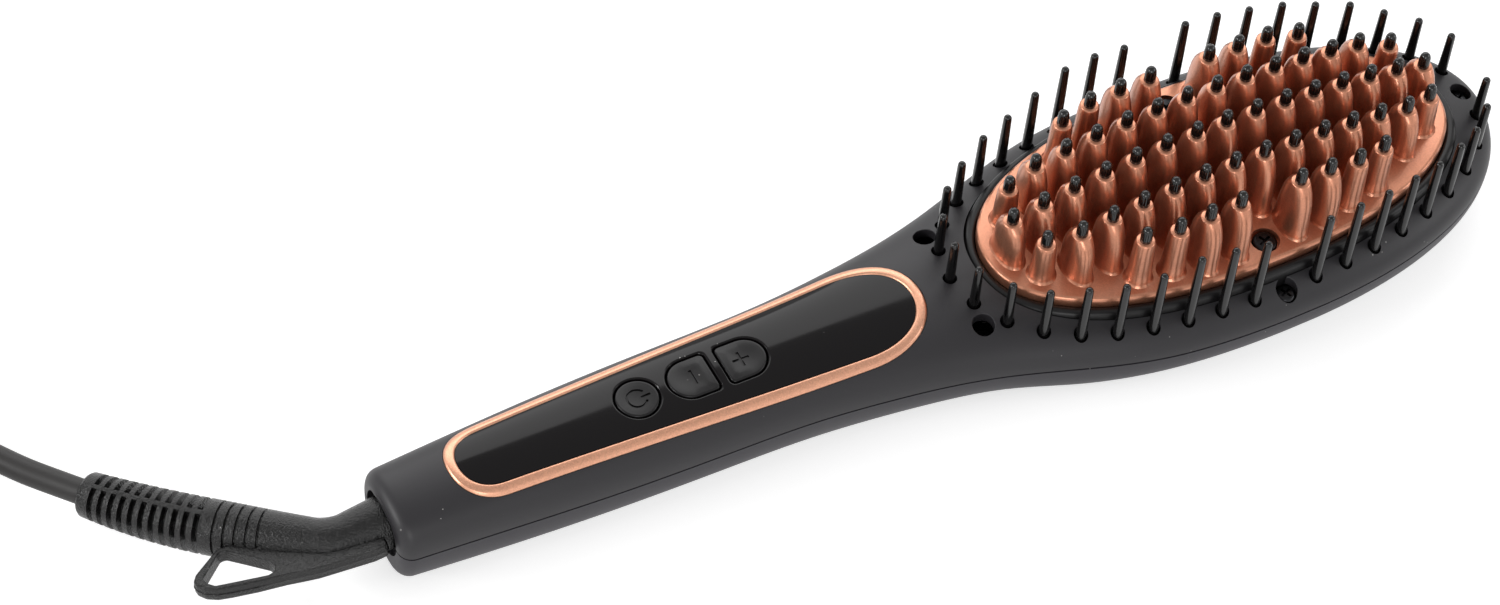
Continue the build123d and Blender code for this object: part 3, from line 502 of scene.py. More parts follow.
CAD_LOOKS = [
    (CERAMIC, "heater_elements", "thermistor", "lead_block"),
    (STEEL, "heater_clamp", "clamp_screws", "thermal_fuse", "board_screws"),
    (MICA, "heat_shield"),
    (SCREW_PAINTED_HOLE_SHADE, "plate_screws", "casing_screws"),
    (BOARD_GREEN, "circuit_board"),
    (PART_BLACK, "tact_switches", "display_module", "capacitor", "triac"),
    (BRASS, "contact_springs", "slip_rings"),
    (LEAD_WHITE, "heater_leads"),
    (SURROUND_BLACK, "swivel_bush", "plate_surround"),
    (SOFT_TOUCH, "upper_casing"),
    (SOFT_TOUCH_BASE_PAINTED_LIGHTER, "lower_casing"),
    (ROSE_GOLD, "panel_trim_ring"),
    (PANEL_BLACK, "control_panel"),
    (KEY_BLACK, "power_button", "minus_button", "plus_button"),
    (COPPER, "heating_plate"),
    (TIP_BLACK, "tooth_tips"),
    (BRISTLE_BLACK, "bristle_frame", "bristles"),
    (RELIEF_BLACK, "strain_relief", "cord_tie", "plug"),
    (CORD_GREY, "cord", "cord_coil"),
    (PIN_METAL, "plug_pins"),
]
for look, *nodes in CAD_LOOKS:
    for node in nodes:
        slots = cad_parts[node].data.materials
        slots.clear()
        slots.append(look)


# Mesh building, in millimetres

def loft(loops, caps=True, joined=False):
    """Skins closed loops one after another; caps close both ends, joined meets the last to the first."""
    points = [point for loop in loops for point in loop]
    size = len(loops[0])
    faces = []
    for lower in range(len(loops) if joined else len(loops) - 1):
        low = lower * size
        high = (lower + 1) % len(loops) * size
        for step in range(size):
            after = (step + 1) % size
            faces.append((low + step, low + after, high + after, high + step))
    if caps and not joined:
        faces.append(tuple(range(size - 1, -1, -1)))
        faces.append(tuple(range(len(points) - size, len(points))))
    return points, faces


def gather(parts):
    """Puts several skinned forms in one."""
    points = []
    faces = []
    for more_points, more_faces in parts:
        start = len(points)
        points += list(more_points)
        faces += [tuple(start + index for index in face) for face in more_faces]
    return points, faces


def tidy_mesh(mesh, angle):
    """Welds doubles, turns faces outwards and marks edges sharper than the angle, in degrees."""
    work = bmesh.new()
    work.from_mesh(mesh)
    bmesh.ops.remove_doubles(work, verts=work.verts, dist=2e-6)
    bmesh.ops.dissolve_degenerate(work, edges=work.edges, dist=1e-7)
    bmesh.ops.recalc_face_normals(work, faces=work.faces)
    if work.calc_volume(signed=True) < 0:
        bmesh.ops.reverse_faces(work, faces=work.faces)
    limit = math.radians(angle)
    for edge in work.edges:
        edge.smooth = len(edge.link_faces) == 2 and edge.calc_face_angle(0.0) < limit
    for face in work.faces:
        face.smooth = True
    work.to_mesh(mesh)
    work.free()


def make_object(name, form, angle=35):
    """An object from points in millimetres and faces."""
    points, faces = form
    mesh = bpy.data.meshes.new(name)
    mesh.from_pydata([tuple(c * MM for c in point) for point in points], [], faces)
    tidy_mesh(mesh, angle)
    piece = bpy.data.objects.new(name, mesh)
    bpy.context.scene.collection.objects.link(piece)
    return piece


def settle(piece, look, body, slot, *nodes):
    """Gives a finished piece its look and body, and hides the nodes it stands for; the slot is not used."""
    piece.data.materials.append(look)
    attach(piece, body)
    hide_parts(*nodes)


def cut(piece, *rounds):
    """Cuts rounds of forms out of a piece, and keeps the smooth shading of its uncut skin."""
    skin = piece.data.copy()
    for forms in rounds:
        cutter = make_object(piece.name + "_cutter", gather(forms))
        change = piece.modifiers.new("cut", "BOOLEAN")
        change.operation = "DIFFERENCE"
        change.solver = "EXACT"
        change.object = cutter
        graph = bpy.context.evaluated_depsgraph_get()
        result = bpy.data.meshes.new_from_object(piece.evaluated_get(graph))
        piece.modifiers.clear()
        piece.data = result
        bpy.data.objects.remove(cutter)
    drop_folds(piece.data)
    keep_skin(piece.data, skin)


def drop_folds(mesh):
    """Splits the faces into triangles and leaves out the pairs that a cut folds onto each other."""
    mesh.calc_loop_triangles()
    triangles = [tuple(triangle.vertices) for triangle in mesh.loop_triangles]
    uses = Counter(frozenset(triangle) for triangle in triangles)
    triangles = [triangle for triangle in triangles if uses[frozenset(triangle)] == 1]
    used = sorted({vertex for triangle in triangles for vertex in triangle})
    number = {vertex: count for count, vertex in enumerate(used)}
    points = [tuple(mesh.vertices[vertex].co) for vertex in used]
    mesh.clear_geometry()
    mesh.from_pydata(points, [], [tuple(number[vertex] for vertex in triangle) for triangle in triangles])


def keep_skin(mesh, skin):
    """Loops that still lie on the uncut skin take its smooth normals, and the others their face's."""
    tree = BVHTree.FromPolygons([v.co for v in skin.vertices], [p.vertices for p in skin.polygons])
    corner_normals = {}
    for polygon in skin.polygons:
        for loop in polygon.loop_indices:
            vertex = skin.loops[loop].vertex_index
            corner_normals[(polygon.index, vertex)] = skin.corner_normals[loop].vector.copy()
    normals = []
    for polygon in mesh.polygons:
        for loop in polygon.loop_indices:
            place = mesh.vertices[mesh.loops[loop].vertex_index].co
            hit, _, index, distance = tree.find_nearest(place)
            normal = polygon.normal
            if index is not None and distance < 2e-6:
                corners = skin.polygons[index].vertices
                spots = [skin.vertices[v].co for v in corners]
                weights = interpolate.poly_3d_calc(spots, hit)
                smooth = Vector((0, 0, 0))
                for weight, vertex in zip(weights, corners):
                    smooth += corner_normals[(index, vertex)] * weight
                if smooth.length > 0.1 and smooth.normalized().dot(polygon.normal) > 0.86:
                    normal = smooth.normalized()
            normals.append(tuple(normal))
    for polygon in mesh.polygons:
        polygon.use_smooth = True
    mesh.normals_split_custom_set(normals)


# The casing's form

def smooth_through(places, values):
    """A natural cubic through the values, level at its last place."""
    x = np.array(places, float)
    y = np.array(values, float)
    size = len(x)
    gap = np.diff(x)
    matrix = np.zeros((size, size))
    right = np.zeros(size)
    matrix[0, 0] = 1
    for i in range(1, size - 1):
        matrix[i, i - 1 : i + 2] = (gap[i - 1], 2 * (gap[i - 1] + gap[i]), gap[i])
        right[i] = 6 * ((y[i + 1] - y[i]) / gap[i] - (y[i] - y[i - 1]) / gap[i - 1])
    matrix[-1, -2:] = (gap[-1], 2 * gap[-1])
    right[-1] = -6 * (y[-1] - y[-2]) / gap[-1]
    bend = np.linalg.solve(matrix, right)

    def value(place):
        at = int(np.clip(np.searchsorted(x, place) - 1, 0, size - 2))
        near = (x[at + 1] - place) / gap[at]
        far = 1 - near
        lift = ((near**3 - near) * bend[at] + (far**3 - far) * bend[at + 1]) * gap[at] ** 2 / 6
        return near * y[at] + far * y[at + 1] + lift

    return value


def oval_half(place, length, width, power):
    """Half width of a superellipse at a place along it."""
    share = min(abs(place) / length, 1.0)
    return width * (1 - share**power) ** (1 / power)


knots = [(CORD_END_X + place, half, rise, GRIP_BELLY_FULLNESS) for place, half, rise in GRIP_OUTLINE]
for place in NECK_SLICES:
    half = oval_half(place, HEAD_HALF_LENGTH, HEAD_HALF_WIDTH, HEAD_POWER)
    knots.append((HEAD_X - place, half, 1.0, HEAD_BELLY_FULLNESS))
knots.append((HEAD_X, HEAD_HALF_WIDTH, 1.0, HEAD_BELLY_FULLNESS))
knot_places, halves, rises, fullnesses = zip(*knots)
half_at = smooth_through(knot_places, halves)
rise_at = smooth_through(knot_places, rises)
belly_at = smooth_through(knot_places, fullnesses)


def casing_section(x, inset):
    """Half width, height share and belly fullness of the casing, drawn in by inset, at x."""
    if x <= HEAD_X:
        return half_at(x) - inset, rise_at(x), belly_at(x)
    length = HEAD_HALF_LENGTH - inset
    width = HEAD_HALF_WIDTH - inset
    half = oval_half(x - HEAD_X, length, width, HEAD_POWER)
    return half, (half / width) ** END_FALL, HEAD_BELLY_FULLNESS


def bulge(t, half, height, full, flat):
    """Offset and height of a shell's section, from its side (t = 0) to its middle (t = 1)."""
    y = half * ((1 - t) ** 3 + 3 * (1 - t) ** 2 * t + 3 * (1 - t) * t**2 * full + t**3 * flat)
    z = height * (3 * (1 - t) ** 2 * t * full + 3 * (1 - t) * t**2 + t**3)
    return y, z


def crown_curve(half, height, count=121):
    """Points (y, height over the parting) from the side of the crown to its middle."""
    return bulge(np.linspace(0, 1, count), half, height, CROWN_FULLNESS, 0.0)


def crown_height(x, y, inset=0.0):
    """Height of the crown, drawn in by inset, over a point."""
    half, rise, belly = casing_section(x, inset)
    sides, heights = crown_curve(half, (CROWN_RISE - inset) * rise)
    return PARTING + float(np.interp(abs(y), sides[::-1], heights[::-1]))


def half_profile(x, inset, sign, count, start=0.0):
    """Points from one side of the casing over the crown, or under the belly, to the other."""
    half, rise, belly = casing_section(x, inset)
    half = max(half, 0.0)
    if sign > 0:
        height, full, flat = (CROWN_RISE - inset) * rise, CROWN_FULLNESS, 0.0
    else:
        height, full, flat = -(PARTING + REST_CUT - inset) * rise, belly, BELLY_FLAT
    points = []
    for t in np.linspace(start, 1, count):
        y, z = bulge(t, half, height, full, flat)
        points.append((x, y, max(PARTING + z, 0.0)))
    back = [(px, -y, z) for px, y, z in reversed(points)]
    return points + (back[1:] if flat == 0 else back)


def casing_stations():
    """Places along the casing: x of the outer skin, its inset, x inside and x of the seam's bottom."""
    stations = []
    inner_start = CORD_END_X + WALL
    for step in range(9):
        angle = math.pi / 2 * step / 8
        x = CORD_END_X + END_ROUNDING * (1 - math.cos(angle))
        stations.append((x, END_ROUNDING * (1 - math.sin(angle)), inner_start, x))
    x = CORD_END_X + END_ROUNDING + 1.5
    while x < HEAD_X + 1:
        stations.append((x, 0.0, x, x))
        x += 2.4
    for angle in np.concatenate((np.linspace(6, 80, 36), np.linspace(81, 90, 16))):
        share = math.sin(math.radians(float(angle))) ** (2 / HEAD_POWER)
        outer_x = HEAD_X + HEAD_HALF_LENGTH * share
        inner_x = HEAD_X + (HEAD_HALF_LENGTH - WALL) * share
        seam_x = HEAD_X + (HEAD_HALF_LENGTH - SEAM_DEPTH) * share
        stations.append((outer_x, 0.0, inner_x, seam_x))
    return stations


def casing_shell(sign, groove):
    """One half of the casing as a closed skin, from the mouth at the cord's end to the toe."""
    count = 25
    start = SEAM_GAP / (3 * GRIP_BELLY_FULLNESS * PARTING) if groove else 0.0
    size = len(half_profile(0.0, 0.0, sign, count))
    mouth = []
    for step in range(size):
        turn = math.pi * step / (size - 1)
        mouth.append((MOUTH_RADIUS * math.cos(turn), PARTING + sign * MOUTH_RADIUS * math.sin(turn)))
    spare = 2 if groove else 0
    outer = [(CORD_END_X, y, z) for y, z in mouth]
    inner = [(CORD_END_X + WALL, y, z) for y, z in mouth]
    loops = [outer[:1] * spare + outer + outer[-1:] * spare + inner[::-1]]
    for x, inset, inner_x, seam_x in casing_stations():
        outer = half_profile(x, inset, sign, count, start)
        if groove:
            deep = max(casing_section(seam_x, inset + SEAM_DEPTH)[0], 0.0)
            edge = [(seam_x, deep, PARTING), (seam_x, deep, PARTING - SEAM_GAP)]
            outer = edge + outer + [(edge_x, -y, z) for edge_x, y, z in reversed(edge)]
        inner = half_profile(inner_x, WALL, sign, count)
        loops.append(outer + inner[::-1])
    points, faces = loft(loops, caps=False)
    last = len(loops[0]) - 1
    for step in range(size - 1):
        faces.append((spare + step, spare + step + 1, last - step - 1, last - step))
    return points, faces


# Outlines seen from above

def superellipse(turn, length, width, power):
    """A point of a rounded oval, at an angle in its drawing."""
    c = math.cos(turn)
    s = math.sin(turn)
    x = math.copysign(length * abs(c) ** (2 / power), c)
    return x, math.copysign(width * abs(s) ** (2 / power), s)


def oval_loop(length, width, power, count, z=0.0):
    """A superellipse about the middle of the head, at even steps along it."""
    dense = [superellipse(2 * math.pi * step / 2000, length, width, power) for step in range(2000)]
    dense.append(dense[0])
    run = np.concatenate(([0.0], np.cumsum([math.dist(a, b) for a, b in zip(dense, dense[1:])])))
    marks = np.linspace(0, run[-1], count, endpoint=False)
    xs = np.interp(marks, run, [x for x, y in dense])
    ys = np.interp(marks, run, [y for x, y in dense])
    return [(HEAD_X + float(x), float(y), z) for x, y in zip(xs, ys)]


def bezier(start, near, far, end, t):
    """A point on a cubic curve."""
    u = 1 - t
    weights = (u**3, 3 * u * u * t, 3 * u * t * t, t**3)
    return tuple(sum(w * p[axis] for w, p in zip(weights, (start, near, far, end))) for axis in (0, 1))


def panel_outline(inset, count=22):
    """The key panel's outline, drawn in by inset, from its small end round its +Y side and back."""
    left = PANEL_X + inset
    right = PANEL_X + PANEL_LENGTH - inset
    small_x = PANEL_X + PANEL_SMALL_NOSE
    large_x = PANEL_X + PANEL_LENGTH - PANEL_LARGE_NOSE
    slope = (PANEL_LARGE_HALF - PANEL_SMALL_HALF) / (large_x - small_x)
    small = PANEL_SMALL_HALF - inset
    large = PANEL_LARGE_HALF - inset
    small_pull = NOSE_FULLNESS * (small_x - left)
    large_pull = NOSE_FULLNESS * (right - large_x)
    small_nose = (
        (left, 0),
        (left, NOSE_FULLNESS * small),
        (small_x - small_pull, small - slope * small_pull),
        (small_x, small),
    )
    large_nose = (
        (large_x, large),
        (large_x + large_pull, large + slope * large_pull),
        (right, NOSE_FULLNESS * large),
        (right, 0),
    )
    upper = [bezier(*small_nose, t) for t in np.linspace(0, 1, count, endpoint=False)]
    straight = 40
    for step in range(straight):
        share = step / straight
        upper.append((small_x + share * (large_x - small_x), small + share * (large - small)))
    upper += [bezier(*large_nose, t) for t in np.linspace(0, 1, count + 1)]
    return upper + [(x, -y) for x, y in upper[-2:0:-1]]


def key_loop(x, side, inset, count=16):
    """A key's outline: round, or with one flat end with small round corners."""
    if side == 0:
        radius = POWER_KEY_RADIUS - inset
        turns = [2 * math.pi * step / (4 * count) for step in range(4 * count)]
        return [(x + radius * math.cos(turn), radius * math.sin(turn)) for turn in turns]
    radius = D_KEY_RADIUS - inset
    straight = D_KEY_STRAIGHT - inset
    corner = max(KEY_CORNER - inset / 2, 0.3)
    points = []
    for step in range(2 * count + 1):
        turn = math.pi / 2 + math.pi * step / (2 * count)
        points.append((radius * math.cos(turn), radius * math.sin(turn)))
    for middle_y, start in ((-radius + corner, -math.pi / 2), (radius - corner, 0.0)):
        for step in range(count // 2 + 1):
            turn = start + math.pi / 2 * step / (count // 2)
            points.append((straight - corner + corner * math.cos(turn), middle_y + corner * math.sin(turn)))
    if side < 0:
        points = [(-px, py) for px, py in reversed(points)]
    return [(x + px, py) for px, py in points]


# Casing

def prism(outline, bottom, top):
    """A straight form over an outline."""
    return loft([[(x, y, bottom) for x, y in outline], [(x, y, top) for x, y in outline]])


def round_outline(x, y, radius, count=20):
    """A circle seen from above."""
    turns = [2 * math.pi * (step + 0.5) / count for step in range(count)]
    return [(x + radius * math.cos(turn), y + radius * math.sin(turn)) for turn in turns]


def flared(outline_at, proud, radius):
    """A hole's cutter that rounds the hole's edge where it meets the crown, or a skin proud of it."""
    loops = [[(x, y, CUT_BOTTOM) for x, y in outline_at(0.0)]]
    for angle in (0, 20, 40, 60, 78):
        widen = radius * (1 - math.cos(math.radians(angle)))
        drop = radius * (1 - math.sin(math.radians(angle)))
        loops.append([(x, y, crown_height(x, y, -proud) - drop) for x, y in outline_at(widen)])
    loops.append([(x, y, CUT_TOP) for x, y in outline_at(radius)])
    return loft(loops)


def pin_places():
    """Places and tip heights of the outer bristles, at even steps round their oval."""
    dense = [(0.0, -PIN_HALF_LENGTH, 0.0)]
    for step in range(1, 4001):
        x, y = superellipse(math.pi * step / 4000, PIN_HALF_LENGTH, PIN_HALF_WIDTH, PLATE_POWER)
        total = dense[-1][0] + math.dist(dense[-1][1:], (-x, y))
        dense.append((total, -x, y))
    goals = [(number * PIN_SPACING, height) for number, height in enumerate(NECK_PIN_HEIGHTS, start=1)]
    for number, height in enumerate(TOE_PIN_HEIGHTS):
        goals.append((total - TOE_PIN_MARGIN - (len(TOE_PIN_HEIGHTS) - 1 - number) * PIN_SPACING, height))
    places = [(HEAD_X - PIN_HALF_LENGTH, 0.0, PIN_NECK_HEIGHT)]
    for goal, height in goals:
        mark = min(dense, key=lambda spot: abs(spot[0] - goal))
        places += [(HEAD_X + mark[1], mark[2], height), (HEAD_X + mark[1], -mark[2], height)]
    return places


def tooth_places():
    """Place, tip height and shape (fin or round) of every tooth: the outer rows leave room for a screw."""
    places = []
    for row, (half_span, gap, end_gap, ends, drop) in enumerate(TOOTH_ROWS):
        columns = [step - half_span for step in range(int(2 * half_span) + 1)]
        if row == 2:
            columns.remove(0)
        for column in columns:
            along = column * TOOTH_PITCH
            x = HEAD_X + TOOTH_SHIFT + ARCH_RADIUS * math.sin(along / ARCH_RADIUS)
            tip = ARCH_TOP - ARCH_RADIUS * (1 - math.cos(along / ARCH_RADIUS)) - drop
            at_end = min(columns.index(column), len(columns) - 1 - columns.index(column))
            y = end_gap if at_end == 0 else gap
            for side in (1, -1) if row else (1,):
                places.append((x, side * y, tip, at_end < ends))
    return places


pins = pin_places()
teeth = tooth_places()

upper_casing = make_object("upper_casing_skin", casing_shell(1, False), 40)
opening = [(x, y) for x, y, z in oval_loop(OPENING_HALF_LENGTH, OPENING_HALF_WIDTH, HEAD_POWER, 220)]
cutters = [prism(opening, CUT_BOTTOM, CUT_TOP), prism(panel_outline(-PANEL_FIT), PANEL_CUT_BOTTOM, CUT_TOP)]
cutters += [prism(round_outline(x, y, PIN_HOLE_RADIUS), CUT_BOTTOM, CUT_TOP) for x, y, height in pins]
screw_cutters = [
    flared(lambda widen: round_outline(x, y, SCREW_HOLE_RADIUS + widen, 40), 0.0, SCREW_HOLE_ROUNDING)
    for x, y in CASING_SCREWS
]
cut(upper_casing, cutters, screw_cutters)
settle(upper_casing, SOFT_TOUCH, "brush", "casing", "upper_casing")

lower_casing = make_object("lower_casing_skin", casing_shell(-1, True), 40)
# The lower shell takes the lighter copy of the plastic, whose extra lightness is painted light from the
# floor.
settle(lower_casing, SOFT_TOUCH_BASE_PAINTED_LIGHTER, "brush", "casing_base", "lower_casing")


# Trim ring and key panel

def trim_ring():
    """The ring round the key panel, following the crown."""
    loops = []
    for inset, lift in TRIM_PROFILE:
        loops.append([(x, y, crown_height(x, y, -lift)) for x, y in panel_outline(inset)])
    return loft(loops, joined=True)


settle(make_object("trim_ring_skin", trim_ring(), 50), ROSE_GOLD, "brush", "rose_gold", "panel_trim_ring")


def panel_patch():
    """The key panel as a closed skin: its top follows the crown."""
    outline = panel_outline(TRIM_WIDTH + PANEL_GAP)
    upper = outline[: len(outline) // 2 + 1]
    loops = []
    for x, half in upper:
        across = [half * share for share in np.linspace(1, -1, 33)]
        top = [(x, y, crown_height(x, y, -PANEL_PROUD)) for y in across]
        bottom = [(x, y, crown_height(x, y, PANEL_SEAT)) for y in across]
        loops.append(top + bottom[::-1])
    return loft(loops, caps=False)


control_panel = make_object("key_panel_skin", panel_patch(), 40)
cutters = [
    flared(lambda widen: key_loop(x, side, -widen), PANEL_PROUD, KEY_HOLE_ROUNDING)
    for name, x, side in KEYS
]
cut(control_panel, cutters)
settle(control_panel, PANEL_BLACK, "brush", "panel_gloss", "control_panel")


# Keys

def key_dish(middle, x, y):
    """How far a key's top lies below its rim."""
    away = min(math.hypot(x - middle, y) / (POWER_KEY_RADIUS - KEY_DISH_MARGIN), 1.0)
    return KEY_DISH * (1 - away**2) ** 1.5


def key_body(x, side):
    """A key with a rounded rim and a dished top."""
    loops = [[(px, py, KEY_BOTTOM) for px, py in key_loop(x, side, KEY_GAP)]]
    for inset, drop in KEY_PROFILE:
        outline = key_loop(x, side, KEY_GAP + inset)
        loops.append([(px, py, crown_height(px, py) - drop) for px, py in outline])
    rim = key_loop(x, side, KEY_GAP + KEY_RIM)
    for share in np.linspace(0.96, 0.04, 18):
        loop = []
        for px, py in rim:
            here_x = x + (px - x) * share
            here_y = py * share
            height = crown_height(here_x, here_y) - KEY_RIM_DROP - key_dish(x, here_x, here_y)
            loop.append((here_x, here_y, height))
        loops.append(loop)
    return loft(loops)


def box_outline(middle, half_x, half_y):
    """A box seen from above, on the grip's middle line."""
    return [(middle + sx * half_x, sy * half_y) for sx, sy in ((-1, -1), (1, -1), (1, 1), (-1, 1))]


def cross_outline(x, y, reach, arm, turn):
    """An even cross seen from above, turned by an angle."""
    points = []
    for quarter in range(4):
        c = math.cos(math.pi / 2 * quarter + turn)
        s = math.sin(math.pi / 2 * quarter + turn)
        for px, py in ((reach, -arm), (reach, arm), (arm, arm)):
            points.append((x + px * c - py * s, y + px * s + py * c))
    return points


def sign_cutters(x, side):
    """The key's sunken sign: a power sign, a minus or a plus."""
    middle = x + side * SIGN_SHIFT
    if side == 0:
        turns = np.linspace(math.radians(POWER_SIGN_OPEN), math.radians(360 - POWER_SIGN_OPEN), 40)
        rims = [(POWER_SIGN_OUTER, turns), (POWER_SIGN_INNER, turns[::-1])]
        ring = [(middle + radius * math.cos(t), radius * math.sin(t)) for radius, way in rims for t in way]
        outlines = [ring, box_outline(middle + 1.95, 1.05, 0.26)]
    elif side > 0:
        outlines = [box_outline(middle, SIGN_HALF_STROKE, SIGN_REACH)]
    else:
        outlines = [cross_outline(middle, 0.0, SIGN_REACH, SIGN_HALF_STROKE, 0.0)]
    return [prism(outline, PARTING + CROWN_RISE - SIGN_FLOOR, CUT_TOP) for outline in outlines]


for name, key_x, side in KEYS:
    key = make_object(name + "_skin", key_body(key_x, side), 60)
    cut(key, sign_cutters(key_x, side))
    settle(key, KEY_BLACK, name, "key_gloss", name)


# Comb

def surround_ring():
    """The black frame between the casing and the heated plate."""
    outer = oval_loop(OPENING_HALF_LENGTH - SURROUND_GAP, OPENING_HALF_WIDTH - SURROUND_GAP, HEAD_POWER, 200)
    inner = oval_loop(PLATE_HALF_LENGTH + PLATE_GAP, PLATE_HALF_WIDTH + PLATE_GAP, PLATE_POWER, 200)
    loops = []
    for share, z in SURROUND_PROFILE:
        loop = []
        for far, near in zip(outer, inner):
            loop.append((far[0] + (near[0] - far[0]) * share, far[1] + (near[1] - far[1]) * share, z))
        loops.append(loop)
    return loft(loops, joined=True)


comb_surround = make_object("comb_surround_skin", surround_ring(), 50)
settle(comb_surround, SURROUND_BLACK, "brush", "surround_black", "plate_surround")


def plate_form():
    """The heated plate with a rounded edge."""
    loops = []
    for inset, z in PLATE_PROFILE:
        loops.append(oval_loop(PLATE_HALF_LENGTH - inset, PLATE_HALF_WIDTH - inset, PLATE_POWER, 200, z))
    return loft(loops)


def tooth_form(x, y, tip, is_round):
    """One tooth: a foot that flares into the plate, a tapering body and a lip at its top."""
    foot, body, power = ROUND_TOOTH if is_round else FIN
    top = tip - TIP_HEIGHT
    levels = [(PLATE_TOP + rise, half_y, half_x) for rise, half_y, half_x in foot]
    levels += [(PLATE_TOP + share * (top - PLATE_TOP), half_y, half_x) for share, half_y, half_x in body]
    levels += [(top - drop, half_y, half_x) for drop, half_y, half_x in TOOTH_LIP]
    loops = []
    for z, half_y, half_x in levels:
        around = [superellipse(2 * math.pi * step / 28, half_x, half_y, power) for step in range(28)]
        loops.append([(x + px, y + py, z) for px, py in around])
    return loft(loops)


def round_form(x, y, levels, count):
    """A round form from its heights and radii."""
    return loft([[(px, py, z) for px, py in round_outline(x, y, radius, count)] for z, radius in levels])


def tip_form(x, y, tip):
    """The black cool tip of a tooth."""
    bottom = tip - TIP_HEIGHT - TIP_SUNK
    levels = [(bottom + share * (TIP_HEIGHT + TIP_SUNK), radius) for share, radius in TIP_PROFILE]
    return round_form(x, y, levels, 24)


def pin_form(x, y, top):
    """One outer bristle: a tapering pin with a rounded end."""
    levels = PIN_FOOT + [(top - drop, radius) for drop, radius in PIN_PROFILE]
    return round_form(x, y, levels, 16)


heated_plate = make_object("heated_plate_skin", plate_form(), 40)
cut(
    heated_plate,
    [prism(round_outline(x, y, PLATE_SCREW_HOLE, 40), PLATE_SCREW_SEAT, CUT_TOP) for x, y in PLATE_SCREWS],
)
settle(heated_plate, COPPER, "brush", "rose_gold", "heating_plate")
comb = make_object("comb_teeth_skin", gather([tooth_form(*tooth) for tooth in teeth]), 50)
settle(comb, COPPER, "brush", "rose_gold", "heating_plate")
tips = make_object("cool_tips_skin", gather([tip_form(x, y, tip) for x, y, tip, is_round in teeth]), 60)
settle(tips, TIP_BLACK, "brush", "tip_gloss", "tooth_tips")
bristles = make_object("outer_bristles_skin", gather([pin_form(*pin) for pin in pins]), 60)
settle(bristles, BRISTLE_BLACK, "brush", "bristle_black", "bristles")


# Screws

def screw_heads(name, places, seat, height, radius, reach):
    """Screw heads with rounded shoulders and a cross recess, turned a little, for a node of that name."""
    levels = [(seat + rise * height, radius * share) for rise, share in SCREW_PROFILE]
    heads = make_object(name + "_skin", gather([round_form(x, y, levels, 36) for x, y in places]))
    top = seat + height
    recesses = [cross_outline(x, y, reach, RECESS_HALF_ARM, RECESS_TURN) for x, y in places]
    cut(heads, [prism(outline, top - RECESS_DEPTH, top + 1) for outline in recesses])
    # The heads' near-black look paints the shade of their holes.
    settle(heads, SCREW_PAINTED_HOLE_SHADE, "brush", "screw_dark", name)


screw_heads("casing_screws", CASING_SCREWS, SCREW_SEAT, 1.7, 2.2, 1.35)
screw_heads("plate_screws", PLATE_SCREWS, PLATE_SCREW_SEAT, 1.6, 2.8, 1.6)


# Strain relief and hanging loop

lean = math.radians(ELBOW_ANGLE)
droop = math.radians(ELBOW_DROOP)
corner = Vector((ELBOW_X, 0, PARTING))
sleeve_way = Vector((-math.cos(lean), math.sin(lean) * math.cos(droop), math.sin(lean) * math.sin(droop)))
side_way = Vector((0, math.cos(droop), math.sin(droop)))
loop_normal = Vector((1, 0, 0)).cross(side_way)
setback = BEND_RADIUS * math.tan(lean / 2)


def relief_axis():
    """Points and directions of the relief's axis: a quick turn, then a slight bend along the sleeve."""
    first_turn = lean - math.radians(SLEEVE_BEND)
    elbow_run = BEND_RADIUS * first_turn
    whole_run = elbow_run + SLEEVE_LENGTH - setback
    steps = 400
    runs = [whole_run * step / steps for step in range(steps + 1)]
    spot = corner + Vector((setback, 0, 0))
    spots = [spot]
    ways = []
    for run in runs:
        share = max(run - elbow_run, 0.0) / (whole_run - elbow_run)
        turn = min(run / BEND_RADIUS, first_turn) + 2 * math.radians(SLEEVE_BEND) * share
        ways.append(Vector((-math.cos(turn), 0, 0)) + side_way * math.sin(turn))
    for way in ways[1:]:
        spot = spot + way * (whole_run / steps)
        spots.append(spot)
    short = corner + sleeve_way * SLEEVE_LENGTH - spots[-1]
    spots = [spot + short * (step / steps) for step, spot in enumerate(spots)]
    places = [setback + (run - elbow_run) for run in runs]
    return places, spots, ways


axis_places, axis_spots, axis_ways = relief_axis()


def relief_station(place):
    """A point and direction of the relief's axis, by its distance from the elbow's corner."""
    at = min(int(np.searchsorted(axis_places, place)), len(axis_places) - 1)
    way = axis_ways[at]
    return axis_spots[at] + way * (place - float(axis_places[at])), way


def relief_radius(place, turn):
    """Radius of the sleeve at a place along it and an angle round it: grooves, then ribs between webs."""
    past = max(place - SLEEVE_THICKEST, 0.0) / (SLEEVE_LENGTH - SLEEVE_THICKEST)
    outer = SLEEVE_RADIUS - (SLEEVE_RADIUS - SLEEVE_END_RADIUS) * past**2
    swell = min(max((place - setback) / (SLEEVE_THICKEST - setback), 0.0), 1.0)
    outer -= (SLEEVE_RADIUS - ELBOW_RADIUS) * (1 - swell) ** 1.6
    for number in range(GROOVE_COUNT):
        middle = GROOVE_START + GROOVE_WIDTH / 2 + number * GROOVE_PITCH
        if abs(place - middle) < GROOVE_WIDTH / 2 + 1e-6:
            return outer - GROOVE_DEPTH
    web = abs((turn - WEB_TURN + math.pi / 2) % math.pi - math.pi / 2) < WEB_HALF_ANGLE
    for number in range(RIB_COUNT):
        start = RIB_START + number * RIB_PITCH
        if start - 1e-6 <= place <= start + RIB_SLOT + 1e-6 and not web:
            return RIB_CORE_RADIUS
    if place > SLEEVE_LENGTH - 0.5:
        return outer - 0.6 * (place - SLEEVE_LENGTH + 0.5)
    return outer


